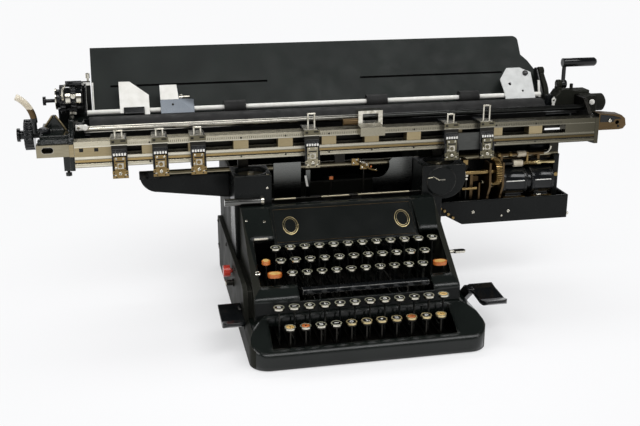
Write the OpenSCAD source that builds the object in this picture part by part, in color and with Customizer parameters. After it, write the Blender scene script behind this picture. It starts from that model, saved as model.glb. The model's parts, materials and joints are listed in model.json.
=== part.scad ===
// Long-carriage typewriter adding machine: cast base with two stepped keyboards, a wide carriage on two
// way rods, a register rail with sliding totalisers, and a motor unit on a side tray.
// X runs to the machine's right, Y runs to the back and Z runs up from the table.

/* [Base] */
// Width of the cast base
base_w = 300; // [290:1:320]
// Depth of the cast base
base_d = 388; // [372:1:404]
// Height of the lip along the front edge
lip_h = 22; // [16:1:26]
// Height of the ledge that the upper housings stand on
ledge_z = 40; // [36:1:44]
// Height of the lower keyboard's deck where it meets the upper deck
low_deck_z = 51; // [46:1:54]
// Corner radius of the base in plan
base_r = 24; // [10:1:36]
// Thickness of the cast walls
wall = 4; // [3:0.5:5]
// Height of the base's rim above the table
foot_gap = 1.5; // [1:0.5:3]
// Diameter of a rubber foot
foot_d = 26; // [20:1:32]

/* [Keyboard] */
// Width of the base that twelve keys leave free
key_side = 72; // [68:1:78]
// Diameter of a round key top
key_d = 13.6; // [12:0.2:14]
// Thickness of a key top with its ring
key_t = 4.2; // [3.5:0.1:5]
// Thickness of a key lever
lever_t = 1.6; // [1.2:0.1:1.8]
// Height of a key lever
lever_h = 6; // [5:0.5:7]
// Distance of the top row of keys behind the base's front edge
row1_back = 114; // [112:0.5:116]
// Height of the top row's key tops
row1_z = 116.5; // [114:0.5:118]
// Depth of one row of the upper keyboard
row_step_y = 16; // [15.5:0.25:16.5]
// Rise of one row of the upper keyboard
row_step_z = 11.4; // [10:0.1:12]
// Distance of the upper row of the lower keyboard behind the base's front edge
row4_back = 34.5; // [33:0.5:36]
// Height of that row's key tops
row4_z = 68.5; // [66:0.5:70]
// Depth of one row of the lower keyboard
low_step_y = 18.3; // [17.5:0.1:18.6]
// Drop of one row of the lower keyboard
low_step_z = 18.6; // [17:0.2:19]
// Length of the space bar
space_l = 164; // [150:1:168]

/* [Upper housing] */
// Inset of the keyboard deck from the base's left side
deck_inset_l = 12; // [10:0.5:14]
// Inset of the keyboard deck from the base's right side
deck_inset_r = 23; // [21:0.5:25]
// Distance of the deck's nose behind the base's front edge
nose_back = 54; // [52:0.5:56]
// Height of the deck's nose
nose_z = 74; // [70:0.5:77]
// Height of the top edge of the front plate
deck_top_z = 152; // [148:1:154]
// Distance of that top edge in front of the base's centre
deck_top_front = 22; // [20:0.5:26]
// Thickness of the front plate
plate_t = 3; // [2:0.5:4]
// Height of the spool housings
tower_z = 192; // [188:1:193]
// Width of the left spool housing
tower_w = 50; // [48:1:56]
// Radius of a ribbon spool
spool_r = 20; // [17:0.5:21]
// Thickness of the side frames
frame_t = 4; // [3:0.5:5]

/* [Ways and carriage] */
// Radius of the way rods that carry the carriage
way_r = 5; // [4:0.25:6]
// Height of the way rods
way_z = 186; // [184:0.5:188]
// Distance of the front way behind the base's centre
way_front_y = 49; // [48:0.5:52]
// Distance between the two ways
way_gap = 91; // [86:1:94]
// Length of the register rail to the left of the paper table
rail_over_l = 24; // [20:1:30]
// Length of the register rail to the right of the paper table
rail_over_r = 60; // [54:1:66]
// Distance of the rail's face behind the base's centre
rail_y = 20; // [18:0.5:22]
// Depth of the rail's upper bar
rail_d = 20; // [18:0.5:20]
// Height of the rail's lower edge
rail_z = 208; // [207.5:0.5:210]
// Height of the rail's lower bar
rail_low_h = 14.5; // [12:0.5:16]
// Height of the windows between the two bars
window_h = 11.5; // [10:0.5:13]
// Height of the rail's upper bar
rail_up_h = 8; // [7:0.5:9]
// Spacing of the windows
window_pitch = 60; // [55:1:64]
// Width of a spacer between two windows
spacer_w = 20; // [16:1:24]
// Radius of the platen
platen_r = 20; // [18:0.5:21]
// Distance of the platen's axis behind the base's centre
platen_y = 85; // [83:0.5:88]
// Height of the platen's axis
platen_z = 240; // [238.5:0.5:241]
// Length of the platen beyond the paper table at each end
platen_over = 4; // [2:0.5:6]
// Radius of the platen's shaft
shaft_r = 5; // [4:0.25:6]
// Radius of the platen knob
knob_r = 20.5; // [18:0.5:22]

/* [Paper table] */
// Width of the paper table
table_w = 643; // [620:1:660]
// Height of the table's lower edge
table_z = 256; // [254:0.5:259]
// Distance of the table's lower edge behind the base's centre
table_y = 121; // [119:0.5:123]
// Length of the table up its slope
table_l = 102; // [94:1:106]
// Lean of the table from upright
table_lean = 35.5; // [30:0.5:38]
// Thickness of the sheet
sheet_t = 2.4; // [1.6:0.2:3]

/* [Motor unit] */
// Radius of a motor drum
motor_r = 19; // [17:0.5:20]
// Height of the motor's axis
motor_z = 149; // [148:0.5:150]
// Distance of the motor's axis behind the base's centre
motor_y = 42; // [41:0.5:43]
// Radius of the motor's shaft
motor_shaft_r = 3; // [2.5:0.1:3.5]
// Length of the motor tray beyond the base
tray_l = 198; // [192:1:204]
// Height of the tray's floor
tray_z = 94; // [90:1:98]
// Height of the tray's walls
tray_h = 35; // [30:1:36]
// Module of the motor's gears
gear_m = 1.2; // [1.1:0.05:1.25]
// Teeth on the motor pinion
pinion_n = 12; // [11:1:13]
// Teeth on the drive gear
gear_n = 30; // [28:1:31]

/* [Hidden] */
$fn = 48;
// Clearance between faces that slide on each other
gap = 0.3;
// Radial clearance of a shaft in its bearing
fit = 0.05;
// Overrun of a cut past the face that it opens
over = 1;
// Radius of a small pivot pin
pin_r = 3;

// Base: the body sits a little to the left of the carriage's middle
base_x = -3;
left = base_x - base_w / 2;
right = base_x + base_w / 2;
front = -base_d / 2;
back = base_d / 2;
nose_y = front + nose_back;
lip_run = 6;
lip_rise = 2;
lip_r = 6;
deck_rise = (low_deck_z - lip_h - lip_rise) / (nose_y - front - lip_run);
ledge_y = front + lip_run + (ledge_z - lip_h - lip_rise) / deck_rise;
foot_inset_x = 34;
foot_inset_y = 38;

// Upper housing
deck_l = left + deck_inset_l;
deck_r = right - deck_inset_r;
deck_top_y = -deck_top_front;
cheek_y0 = nose_y + 6;
cheek_slope = atan((deck_top_z - nose_z) / (deck_top_y - cheek_y0));
nose_r = 6;
brow_r = 9;
tower_y0 = deck_top_y + 14;
tower_y1 = way_front_y - way_r - 1;
frame_inset = 6;
frame_l = left + frame_inset;
frame_r = right - frame_inset;
frame_y0 = tower_y1 + gap;
frame_y1 = back - frame_inset;
tower_in_l = frame_l + tower_w;
tower_in_r = deck_r - 12;
tower_out_r = frame_r + 33;
belly_r = 29;
spool_y = (tower_y0 + tower_y1) / 2;
spool_xl = (frame_l + tower_in_l) / 2;
spool_xr = (tower_in_r + tower_out_r) / 2;
spool_h = 22;
spool_z = tower_z - spool_h;
belly_z = spool_z + 3;
well_r_spool = spool_r + 1.5;
bar_r = 5;
bar_y = tower_y0 - 4;
bar_z = deck_top_z + 6.5;
panel_y0 = nose_y + 15;
panel_y1 = frame_y1 - 6;
panel_z = ledge_z + 42;
panel_r = 14;
panel_foot = ledge_z - 14;

// Keys: every row is placed from the middle of the lower keyboard, in key spacings
key_pitch = (base_w - key_side) / 12;
keys_x = base_x - 6.5;
row_shift = [0.5, 0.21, 0.34, 0, 0.05];
row_n = [12, 11, 10, 12, 11];
function row_x(r) = keys_x + (row_shift[r] - (row_n[r] - 1) / 2) * key_pitch;
function row_y(r) = r < 3 ? front + row1_back - r * row_step_y : front + row4_back - (r - 3) * low_step_y;
function row_z(r) = r < 3 ? row1_z - r * row_step_z : row4_z - (r - 3) * low_step_z;
key_dish = 0.8;
key_rim = 1.6;
stem_half = 2;
fulcrum_r = 2;
upper_fulcrum = [frame_y1 - 38, 46];
lower_fulcrum = [front + 136, 20];
function fulcrum(r) = r < 3 ? upper_fulcrum : lower_fulcrum;
well_margin = 5;
well_l = row_x(3) - key_d / 2 - well_margin;
well_r = row_x(3) + (row_n[3] - 1) * key_pitch + key_d / 2 + well_margin;
space_x = keys_x + 12;
space_y = nose_y + 10.5;
space_z = nose_z + 3.5;
space_d = 11;
space_t = 6;
space_arms = [keys_x - 2.5 * key_pitch, keys_x + 3.5 * key_pitch];
oval_w = 18;
shift_l = row_x(2) - 1.184 * key_pitch;
shift_r = row_x(2) + 10.21 * key_pitch;
shift_r_lever = row_x(2) + 10.447 * key_pitch;

// Front plate
plate_l = deck_l + 38;
plate_r = deck_r - 32;
plate_y0 = front + row1_back + key_d / 2 + 10;
plate_z0 = row1_z - 3;
plate_y1 = deck_top_y + 1;
plate_z1 = deck_top_z;
plate_fold = plate_t * 1.4;

// Small controls
paddle_pivot = [front + 124, 18];
paddle_w = 29;
paddle_reach = 6;
paddle_t = 3;
red_y = tower_y0 + 2;
red_z = 60;
ribbon_pivot = [deck_top_y - 22, 80];

// Ways
way_rear_y = way_front_y + way_gap;
way_l = left - 115;
arm_z = 149;
arm_r = way_z - arm_z - 13;
pad_w = 14;
pad_d = 8;

// Carriage
table_x = -3.5;
table_x0 = table_x - table_w / 2;
table_x1 = table_x + table_w / 2;
rail_x0 = table_x0 - rail_over_l;
rail_x1 = table_x1 + rail_over_r;
window_z0 = rail_z + rail_low_h;
window_z1 = window_z0 + window_h;
rail_top = window_z1 + rail_up_h;
rail_back = rail_y + rail_d;
rail_block = 46;
first_spacer = rail_x0 + 96;
last_spacer = rail_x1 - rail_block - spacer_w / 2 - 2;
spacer_n = floor((last_spacer - first_spacer) / window_pitch) + 1;
beam_z = rail_z - 5.7;
beam_h = 12;
beam_d = 18;
beam_y = rail_back;
rear_beam_y = way_rear_y - beam_d / 2;
tie_w = 14;
apron_y = rail_back + 5;
apron_t = 1.5;
end_t = 6;
end_top = 262;
casing_w = 41;
casing_l = rail_x0 - end_t - casing_w;
casing_z = 222;
casing_top = 247;
casing_y = 118;
ear_w = 38;
platen_x0 = table_x0 - platen_over;
platen_x1 = table_x1 + platen_over;
tube_y = table_y + 3.5;
tube_z = table_z - 3;
tube_r = 5;

// Paper bail
bail_y = 105;
bail_z = 262;
bail_r = 3.4;
bail_pivot = [128, 292];
bail_x0 = platen_x0 - 3;
bail_x1 = platen_x1 + 7;
bearing_x = bail_x0 - 4;
front_bar_r = 4.5;
bail_reach = sqrt(pow(bail_y - platen_y, 2) + pow(bail_z - platen_z, 2));
roller_r = bail_reach - platen_r - gap;
roller_half = 15;
roller_at = [0.303, 0.622, 0.84];

// Line-space mechanism and feed crank
drum_axis_y = 108;
drum_axis_z = end_top + 20;
lever_x = rail_x0 - 37;
lever_y = 58;
crank_x = rail_x1 - 14;
crank_y = 104;
crank_z = 276;
crank_l = 32;
grip_l = 53;

// Motor unit
tray_x1 = right + tray_l;
way_end = tray_x1 - 9;
gear_x = way_end - 108;
gear_w = 8;
pinion_pitch_r = gear_m * pinion_n / 2;
gear_pitch_r = gear_m * gear_n / 2;
gear_turn = 52;
gear_y = motor_y - (pinion_pitch_r + gear_pitch_r) * cos(gear_turn);
gear_z = motor_z + (pinion_pitch_r + gear_pitch_r) * sin(gear_turn);
tray_y0 = rail_y;
tray_y1 = motor_y + 22;
tray_t = 3;
back_t = 1.5;
tray_floor = tray_z + tray_t;
tray_top = tray_z + tray_h;
tray_step = 14;
tray_step_x = [right + 11, right + 36];
motor_drums = [[gear_x + 16, gear_x + 54], [gear_x + 61, gear_x + 95]];
drum_rim = 0.8;
drum_rim_w = 3;
post_w = 8;
link_y = 40;
link_z = 175;
link_r = 2.5;

// Spring drum
drum_x = frame_l + 59;
drum_z = 104;
drum_r = 26;
stud_r = 4;

// Type basket
seg_x = (tower_in_l + tower_in_r) / 2;
seg_y = tower_y1 - 3;
seg_z = 148;
seg_r = 30;
seg_w = 11;
seg_t = 10;
seg_tilt = 25;
bar_n = 40;
bar_l = 48;

// Register units along the rail, measured from its left end, and the height of each one's loop
unit_half = 10;
unit_y = 8;
unit_at = [57, 109, 158, 310, 506, 558];
loop_top = [256, 256, 256, 267, 258, 268];
block_x = rail_x0 + 377;

// An outline in Y and Z drawn out along X
module along_x(x0, x1) {
    translate([x0, 0, 0]) rotate([90, 0, 90]) linear_extrude(x1 - x0) children();
}

// An outline in X and Z drawn out along Y
module along_y(y0, y1) {
    translate([0, y1, 0]) rotate([90, 0, 0]) linear_extrude(y1 - y0) children();
}

module box(x, y, z) {
    translate([x[0], y[0], z[0]]) cube([x[1] - x[0], y[1] - y[0], z[1] - z[0]]);
}

module rod_x(x, y, z, r) {
    translate([x[0], y, z]) rotate([0, 90, 0]) cylinder(r = r, h = x[1] - x[0]);
}

module cone_x(x, y, z, r0, r1) {
    translate([x[0], y, z]) rotate([0, 90, 0]) cylinder(r1 = r0, r2 = r1, h = x[1] - x[0]);
}

module rod_y(x, y, z, r) {
    translate([x, y[1], z]) rotate([90, 0, 0]) cylinder(r = r, h = y[1] - y[0]);
}

module rod_z(x, y, z, r) {
    translate([x, y, z[0]]) cylinder(r = r, h = z[1] - z[0]);
}

module rounded(w, d, r) {
    square([w - 2 * r, d], center = true);
    square([w, d - 2 * r], center = true);
    for (i = [-1, 1], j = [-1, 1]) {
        translate([i * (w / 2 - r), j * (d / 2 - r)]) circle(r);
    }
}

// Points along an arc of an outline, and the corner that rounds off an upright line which meets a slope
function arc(middle, r, from, to, n = 8) = [for (i = [0:n]) let (a = from + (to - from) * i / n)
    middle + r * [cos(a), sin(a)]];
function round_nose(y, on_slope, angle, r) = let (top = on_slope[1] + (y + r - on_slope[0]) * tan(angle))
    arc([y + r, top - r / cos(angle)], r, 180, 90 + angle);

// Base
module base_section(t) {
    l = left + t;
    r = right - t;
    polygon([[l, -over], [l, panel_foot - t], [l + 2, ledge_z - 6 - t], [l + 6, ledge_z - t],
        [l + 14, ledge_z + 5 - t], [l + 34, ledge_z + 15 - t], [r - 34, ledge_z + 15 - t],
        [r - 14, ledge_z + 5 - t], [r - 6, ledge_z - t], [r - 2, ledge_z - 6 - t],
        [r, panel_foot - t], [r, -over]]);
}

module base_pan() {
    above = low_deck_z + 9;
    color([0.1, 0.13, 0.12])
    difference() {
        intersection() {
            translate([base_x, 0, foot_gap]) linear_extrude(low_deck_z) rounded(base_w, base_d, base_r);
            along_x(left - over, right + over) polygon(concat([[front, -over]],
                round_nose(front, [nose_y, low_deck_z], atan(deck_rise), lip_r),
                [[nose_y, low_deck_z], [back + over, low_deck_z], [back + over, -over]]));
            along_y(front - over, back + over) base_section(0);
        }
        intersection() {
            translate([base_x, 0, -over]) linear_extrude(low_deck_z)
                rounded(base_w - 2 * wall, base_d - 2 * wall, base_r - wall);
            along_x(left, right) polygon([[front, -2 * over], [front, lip_h - wall],
                [front + lip_run, lip_h + lip_rise - wall], [ledge_y, ledge_z - wall],
                [back, ledge_z - wall], [back, -2 * over]]);
            along_y(front, back) base_section(wall);
        }
        box([deck_l - gap, deck_r + gap], [nose_y - gap, back + over], [ledge_z, above]);
        box([left - over, right + over], [tower_y0 - gap, back + over], [ledge_z, above]);
        box([left - over, deck_l], [panel_y0 - gap, back + over], [ledge_z, above]);
        box([left - over, frame_l - gap], [panel_y0 - gap, panel_y1 + gap], [panel_foot, above]);
        box([deck_l + 2 * wall, deck_r - 2 * wall], [nose_y + wall + over, back - 20], [0, ledge_z + over]);
        box([well_l, well_r], [front + 9, nose_y - well_margin], [0, above]);
        rod_x([left - over, right + over], paddle_pivot[0], paddle_pivot[1], pin_r + fit);
    }
}

module bottom_plate() {
    color([0.2, 0.2, 0.2])
    translate([base_x, 0, foot_gap + 1]) linear_extrude(2)
        rounded(base_w - 2 * wall - gap, base_d - 2 * wall - gap, base_r - wall);
}

module rubber_feet() {
    color([0.05, 0.05, 0.05])
    for (i = [-1, 1], j = [-1, 1]) {
        translate([base_x + i * (base_w / 2 - foot_inset_x), j * (back - foot_inset_y), 0])
            cylinder(d = foot_d, h = foot_gap + 1);
    }
}

module side_panel_left() {
    color([0.1, 0.13, 0.12])
    difference() {
        union() {
            along_x(left, frame_l - gap) polygon(concat([[panel_y0, panel_foot]],
                arc([panel_y0 + panel_r, panel_z - panel_r], panel_r, 180, 90),
                arc([panel_y1 - panel_r, panel_z - panel_r], panel_r, 90, 0), [[panel_y1, panel_foot]]));
            box([frame_l - gap, deck_l - gap], [panel_y0 + 4, tower_y0 - gap], [ledge_z, panel_z - 6]);
        }
        rod_x([left - over, deck_l], red_y, red_z, pin_r + fit);
    }
}

// Upper housings
module keyboard_deck() {
    inner_top = deck_top_z - wall - 1.5;
    space_half = space_l / 2 + 5;
    color([0.1, 0.13, 0.12])
    difference() {
        along_x(deck_l, deck_r) polygon(concat([[nose_y, ledge_z]],
            round_nose(nose_y, [deck_top_y, deck_top_z], cheek_slope, nose_r),
            arc([deck_top_y + brow_r * tan(cheek_slope / 2), deck_top_z - brow_r], brow_r,
                90 + cheek_slope, 90),
            [[tower_y0 - gap, deck_top_z], [tower_y0 - gap, ledge_z]]));
        along_x(deck_l + wall, deck_r - wall) polygon([[nose_y + wall, ledge_z - over],
            [nose_y + wall, nose_z - wall - 3], [cheek_y0 + 2, nose_z - wall],
            [deck_top_y, inner_top], [tower_y0, inner_top], [tower_y0, ledge_z - over]]);
        box([deck_l + 10, deck_r - 7], [nose_y + 17, plate_y0], [nose_z - wall, deck_top_z]);
        along_x(plate_l, plate_r) polygon([[plate_y0 - over, plate_z0 - 8],
            [plate_y0 - over, deck_top_z + 20], [plate_y1, deck_top_z + 20], [plate_y1, plate_z1 - 8]]);
        box([space_x - space_half, space_x + space_half], [nose_y + wall, nose_y + 18],
            [nose_z - 20, nose_z + 20]);
        box([space_x - space_half, space_x + space_half], [nose_y - over, nose_y + wall + over],
            [nose_z - 9, nose_z + 20]);
        rod_x([deck_r - wall - over, deck_r + over], ribbon_pivot[0], ribbon_pivot[1], link_r + fit);
    }
}

module front_plate() {
    color([0.12, 0.15, 0.14])
    along_x(plate_l, plate_r) polygon([[plate_y0, plate_z0], [plate_y1, plate_z1],
        [plate_y1, plate_z1 - plate_fold], [plate_y0 + plate_t * 0.2, plate_z0 - plate_fold],
        [plate_y0, plate_z0 - plate_fold]]);
}

// Well in a spool housing for one spool and its spindle
module spool_well(x) {
    rod_z(x, spool_y, [spool_z, tower_z + over], well_r_spool);
    rod_z(x, spool_y, [spool_z - 9, spool_z + over], pin_r + fit);
}

module spool_housing_left() {
    bar_end = tower_in_l - 16;
    color([0.08, 0.09, 0.1])
    difference() {
        union() {
            box([frame_l, tower_in_l], [tower_y0, tower_y1], [ledge_z, tower_z]);
            rod_x([left - 8, bar_end], bar_y, bar_z, bar_r);
            rod_x([bar_end, bar_end + 4], bar_y, bar_z, bar_r + 1);
        }
        spool_well(spool_xl);
        box([frame_l + wall, tower_in_l - wall], [tower_y0 + wall, tower_y1 - wall],
            [ledge_z - over, spool_z - 8]);
        box([frame_l + wall + 3, tower_in_l + over], [tower_y0 - over, tower_y1 + over],
            [ledge_z - over, ledge_z + 28]);
    }
}

module spool_housing_right() {
    color([0.08, 0.09, 0.1])
    difference() {
        union() {
            box([tower_in_r, frame_r], [tower_y0, tower_y1], [ledge_z, tower_z]);
            along_y(tower_y0, tower_y1)
                difference() {
                    union() {
                        translate([tower_out_r - belly_r, belly_z]) circle(belly_r);
                        translate([frame_r - over, belly_z])
                            square([tower_out_r - frame_r + over, tower_z - belly_z]);
                    }
                    translate([tower_in_r - belly_r, tower_z]) square([4 * belly_r, 2 * belly_r]);
                }
            rod_y(spool_xr - 4, [tower_y0 - 3, tower_y0 + over], spool_z, spool_r + 0.5);
        }
        spool_well(spool_xr);
        box([tower_in_r + wall, frame_r - wall], [tower_y0 + wall, tower_y1 - wall],
            [ledge_z - over, spool_z - 8]);
    }
}

module ribbon_spool(x) {
    flange = 1.4;
    rod_z(x, spool_y, [spool_z + gap, spool_z + gap + flange], spool_r);
    rod_z(x, spool_y, [spool_z + gap + flange, spool_z + 15], spool_r - 4);
    rod_z(x, spool_y, [spool_z + 15, spool_z + 15 + flange], spool_r);
    rod_z(x, spool_y, [spool_z + 15 + flange, spool_z + 20], bar_r);
    rod_z(x, spool_y, [spool_z - 8, spool_z + gap], pin_r);
}

module ribbon_spool_left() {
    color([0.3, 0.3, 0.32]) ribbon_spool(spool_xl);
}

module ribbon_spool_right() {
    color([0.3, 0.3, 0.32]) ribbon_spool(spool_xr);
}

module rear_frame() {
    inner = [frame_l + frame_t, frame_r - frame_t];
    color([0.09, 0.1, 0.1])
    difference() {
        union() {
            for (x = [frame_l, frame_r - frame_t]) {
                along_x(x, x + frame_t) polygon([[frame_y0, ledge_z], [frame_y0, way_z],
                    [way_rear_y + 14, way_z], [frame_y1, way_z - 8], [frame_y1, ledge_z]]);
            }
            box(inner, [way_front_y + 51, way_front_y + 59], [110, 146]);
            box(inner, [frame_y0 + 10, frame_y0 + 17], [70, 92]);
        }
        for (y = [way_front_y, way_rear_y]) {
            rod_x([frame_l - over, frame_r + over], y, way_z, way_r);
        }
        rod_x([frame_l - over, frame_r + over], upper_fulcrum[0], upper_fulcrum[1], fulcrum_r);
    }
}

module rear_cover() {
    louvre_x = [base_x + 23, base_x + 113];
    color([0.1, 0.13, 0.12]) {
        difference() {
            box([frame_l + frame_t, frame_r - frame_t], [frame_y1 - wall, frame_y1], [ledge_z, way_z - 8]);
            for (i = [0:6]) {
                translate([0, 0, ledge_z + 24 + i * 10])
                    box(louvre_x, [frame_y1 - wall - over, frame_y1 + over], [0, 4]);
            }
        }
        rod_y(drum_x, [frame_y1 - 34, frame_y1 - wall], drum_z, stud_r);
    }
}

module spring_drum() {
    color([0.6, 0.6, 0.62])
    difference() {
        union() {
            rod_y(drum_x, [frame_y1 - 26, frame_y1 - 7], drum_z, drum_r);
            rod_y(drum_x, [frame_y1 - 28, frame_y1 - 26], drum_z, drum_r + 3);
            rod_y(drum_x, [frame_y1 - 7, frame_y1 - 5], drum_z, drum_r + 3);
        }
        rod_y(drum_x, [frame_y1 - 40, frame_y1], drum_z, stud_r + fit);
        rod_y(drum_x + 15, [frame_y1 - 40, frame_y1], drum_z, 4);
    }
}

// Round ways with pads that reach up to the carriage's beams
module way_rods() {
    color([0.75, 0.75, 0.77]) {
        rod_x([way_l, way_end], way_front_y, way_z, way_r);
        rod_x([frame_l - 60, frame_r + 60], way_rear_y, way_z, way_r);
        for (x = [frame_l + 19, base_x + 11, frame_r + 9, way_end - pad_w / 2]) {
            box([x - pad_w / 2, x + pad_w / 2], [way_front_y - pad_d / 2, way_front_y + pad_d / 2],
                [way_z, beam_z - gap]);
        }
        for (x = [frame_l + 19, frame_r - 19]) {
            box([x - pad_w / 2, x + pad_w / 2], [way_rear_y - pad_d / 2, way_rear_y + pad_d / 2],
                [way_z, beam_z - gap]);
        }
    }
}

module support_arm_left() {
    color([0.06, 0.07, 0.08])
    difference() {
        along_y(way_front_y - 5.5, way_front_y + 8) polygon(concat([[frame_l, arm_z]],
            arc([way_l + arm_r, way_z], arm_r, 270, 180), [[frame_l, way_z]]));
        rod_x([way_l - over, frame_l], way_front_y, way_z, way_r);
    }
}

// Motor unit
module motor_tray() {
    inside_y = [tray_y0 + tray_t, tray_y1 - tray_t];
    color([0.09, 0.09, 0.1])
    difference() {
        union() {
            difference() {
                along_y(tray_y0, tray_y1) polygon([[frame_r, tray_z + tray_step],
                    [tray_step_x[0], tray_z + tray_step], [tray_step_x[1], tray_z], [tray_x1, tray_z],
                    [tray_x1, tray_top], [frame_r, tray_top]]);
                box([tray_step_x[1] + 4, tray_x1 - tray_t], inside_y, [tray_floor, tray_top + over]);
                box([frame_r - over, tray_step_x[1] + 5], inside_y,
                    [tray_floor + tray_step, tray_top + over]);
            }
            box([way_end - post_w, way_end], [way_front_y - 9, way_front_y + 6], [tray_floor, way_z]);
            box([frame_r, way_end - post_w], [tray_y1 - back_t, tray_y1], [tray_top - over, beam_z - 3]);
        }
        rod_x([way_end - post_w - over, way_end + over], way_front_y, way_z, way_r);
    }
}

module motor_housing() {
    foot_half = 12;
    color([0.35, 0.36, 0.38])
    difference() {
        union() {
            for (d = motor_drums) {
                rod_x(d, motor_y, motor_z, motor_r);
                rod_x([d[0] + over, d[0] + over + drum_rim_w], motor_y, motor_z, motor_r + drum_rim);
                rod_x([d[1] - over - drum_rim_w, d[1] - over], motor_y, motor_z, motor_r + drum_rim);
                box([d[0] + 7, d[1] - 6], [motor_y - foot_half, motor_y + foot_half],
                    [tray_floor, motor_z - 8]);
                box([d[0] + 2, d[1] - 2], [motor_y - motor_r + 2, motor_y + foot_half],
                    [tray_top - 4, tray_top]);
            }
            rod_x([motor_drums[0][1], motor_drums[1][0]], motor_y, motor_z, motor_r - 4);
        }
        rod_x([motor_drums[0][0] - over, motor_drums[1][1] + over], motor_y, motor_z, motor_shaft_r + fit);
    }
}

// Two cheeks for the gears, and the linkage bar with its collars that runs on to the end post
module gear_bracket() {
    cheek_t = 3;
    color([0.5, 0.4, 0.25])
    difference() {
        union() {
            for (x = [gear_x - 8, gear_x + gear_w + 3.5]) {
                along_x(x, x + cheek_t) polygon([[motor_y - 17, tray_floor], [motor_y + 17, tray_floor],
                    [motor_y + 17, motor_z], [gear_y + 12, gear_z + 14], [gear_y - 8, gear_z + 14],
                    [gear_y - 10, motor_z], [motor_y - 17, tray_top + 3]]);
            }
            box([gear_x - 5, gear_x + gear_w + 3.5], [motor_y + 4, motor_y + 17],
                [tray_floor, tray_floor + 8]);
            rod_x([gear_x + gear_w + 6, way_end - post_w], link_y, link_z, link_r);
            rod_x([gear_x + 36, gear_x + 50], link_y, link_z, link_r + 2.5);
            rod_x([gear_x + 72, gear_x + 78], link_y, link_z, link_r + 1.5);
        }
        rod_x([gear_x - 20, gear_x + 20], motor_y, motor_z, motor_shaft_r + fit);
        rod_x([gear_x - 20, gear_x + 20], gear_y, gear_z, motor_shaft_r + fit);
    }
}

// Straight-flanked gear with easy backlash; a tooth points along the given angle
module gear_outline(n, turn) {
    p = gear_m * n / 2;
    root = p - 1.25 * gear_m;
    tip = p + gear_m;
    a = 360 / n;
    circle(root);
    for (i = [0:n - 1]) {
        rotate(turn + i * a) polygon([[root * cos(a * 0.3) - 0.3, -root * sin(a * 0.3)],
            [p * cos(a * 0.2), -p * sin(a * 0.2)], [tip * cos(a * 0.1), -tip * sin(a * 0.1)],
            [tip * cos(a * 0.1), tip * sin(a * 0.1)], [p * cos(a * 0.2), p * sin(a * 0.2)],
            [root * cos(a * 0.3) - 0.3, root * sin(a * 0.3)]]);
    }
}

module motor_rotor() {
    color([0.7, 0.7, 0.72]) {
        rod_x([gear_x - 10, way_end - post_w - 1], motor_y, motor_z, motor_shaft_r);
        along_x(gear_x, gear_x + gear_w) translate([motor_y, motor_z])
            gear_outline(pinion_n, 180 - gear_turn);
    }
}

module drive_gear() {
    color([0.7, 0.6, 0.3]) {
        rod_x([tower_out_r + 1, gear_x + gear_w + 8], gear_y, gear_z, motor_shaft_r);
        along_x(gear_x, gear_x + gear_w) translate([gear_y, gear_z])
            gear_outline(gear_n, 360 - gear_turn + 180 / gear_n);
    }
}

// Type basket
module in_basket() {
    translate([seg_x, seg_y, seg_z]) rotate([seg_tilt, 0, 0]) children();
}

module type_segment() {
    color([0.6, 0.6, 0.62]) {
        box([tower_in_l, tower_in_r], [tower_y1 - 7.5, tower_y1], [seg_z - 22, seg_z - 4]);
        in_basket() translate([0, 0, -seg_t]) linear_extrude(seg_t)
            difference() {
                circle(seg_r);
                circle(seg_r - seg_w);
                translate([-2 * seg_r, -4]) square([4 * seg_r, 2 * seg_r]);
            }
    }
}

module typebars() {
    first = 198;
    fan = 144;
    bar_t = 1.1;
    head_w = 2.6;
    color([0.5, 0.5, 0.52])
    in_basket()
        for (i = [0:bar_n - 1]) {
            rotate(first + i * fan / (bar_n - 1)) {
                translate([seg_r + 0.25, -bar_t / 2, -7]) cube([bar_l, bar_t, 5]);
                translate([seg_r + bar_l, -head_w / 2, -7]) cube([7, head_w, 7]);
            }
        }
}

// Upright plates behind the type basket that hold a card against the platen
module card_holders() {
    y = [tower_y1 - 5, tower_y1 - 3.8];
    foot_z = seg_z - 4;
    color([0.35, 0.36, 0.37]) {
        box([tower_in_l + 10, tower_in_l + 48], y, [foot_z, tower_z + 3]);
        along_y(y[0], y[1])
            difference() {
                polygon([[tower_in_r - 58, foot_z], [tower_in_r - 58, foot_z + 22],
                    [tower_in_r - 30, tower_z + 2], [tower_in_r - 1, tower_z + 2],
                    [tower_in_r - 1, foot_z]]);
                translate([tower_in_r - 52, foot_z + 40]) circle(18);
            }
        box([tower_in_l + 55, tower_in_l + 61], [y[0] - 1, y[1] + 0.8], [foot_z, tower_z - 9]);
    }
}

// Keys
module key_shafts() {
    color([0.7, 0.7, 0.72]) {
        rod_x([frame_l + frame_t, frame_r - frame_t], upper_fulcrum[0], upper_fulcrum[1], fulcrum_r);
        rod_x([left + wall, right - wall], lower_fulcrum[0], lower_fulcrum[1], fulcrum_r);
    }
}

// Lever with a stem that carries a key top at distance y and height z
module key_lever(x, f, y, z) {
    half = lever_h / 2;
    along_x(x - lever_t / 2, x + lever_t / 2)
        difference() {
            union() {
                polygon([[f[0], f[1] - half], [f[0], f[1] + half], [y + stem_half, f[1] + half],
                    [y + stem_half, z], [y - stem_half, z], [y - stem_half, f[1] - half]]);
                translate(f) circle(half + 2);
            }
            translate(f) circle(fulcrum_r + fit);
        }
}

module key_top(x, y, z, d) {
    difference() {
        rod_z(x, y, [z - key_t, z], d / 2);
        rod_z(x, y, [z - key_dish, z + over], d / 2 - key_rim);
    }
}

module key_row(r) {
    for (i = [0:row_n[r] - 1]) {
        x = row_x(r) + i * key_pitch;
        key_lever(x, fulcrum(r), row_y(r), row_z(r) - key_t);
        key_top(x, row_y(r), row_z(r), key_d);
    }
}

module key_row_1() {
    color([0.6, 0.55, 0.4]) key_row(0);
}

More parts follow.
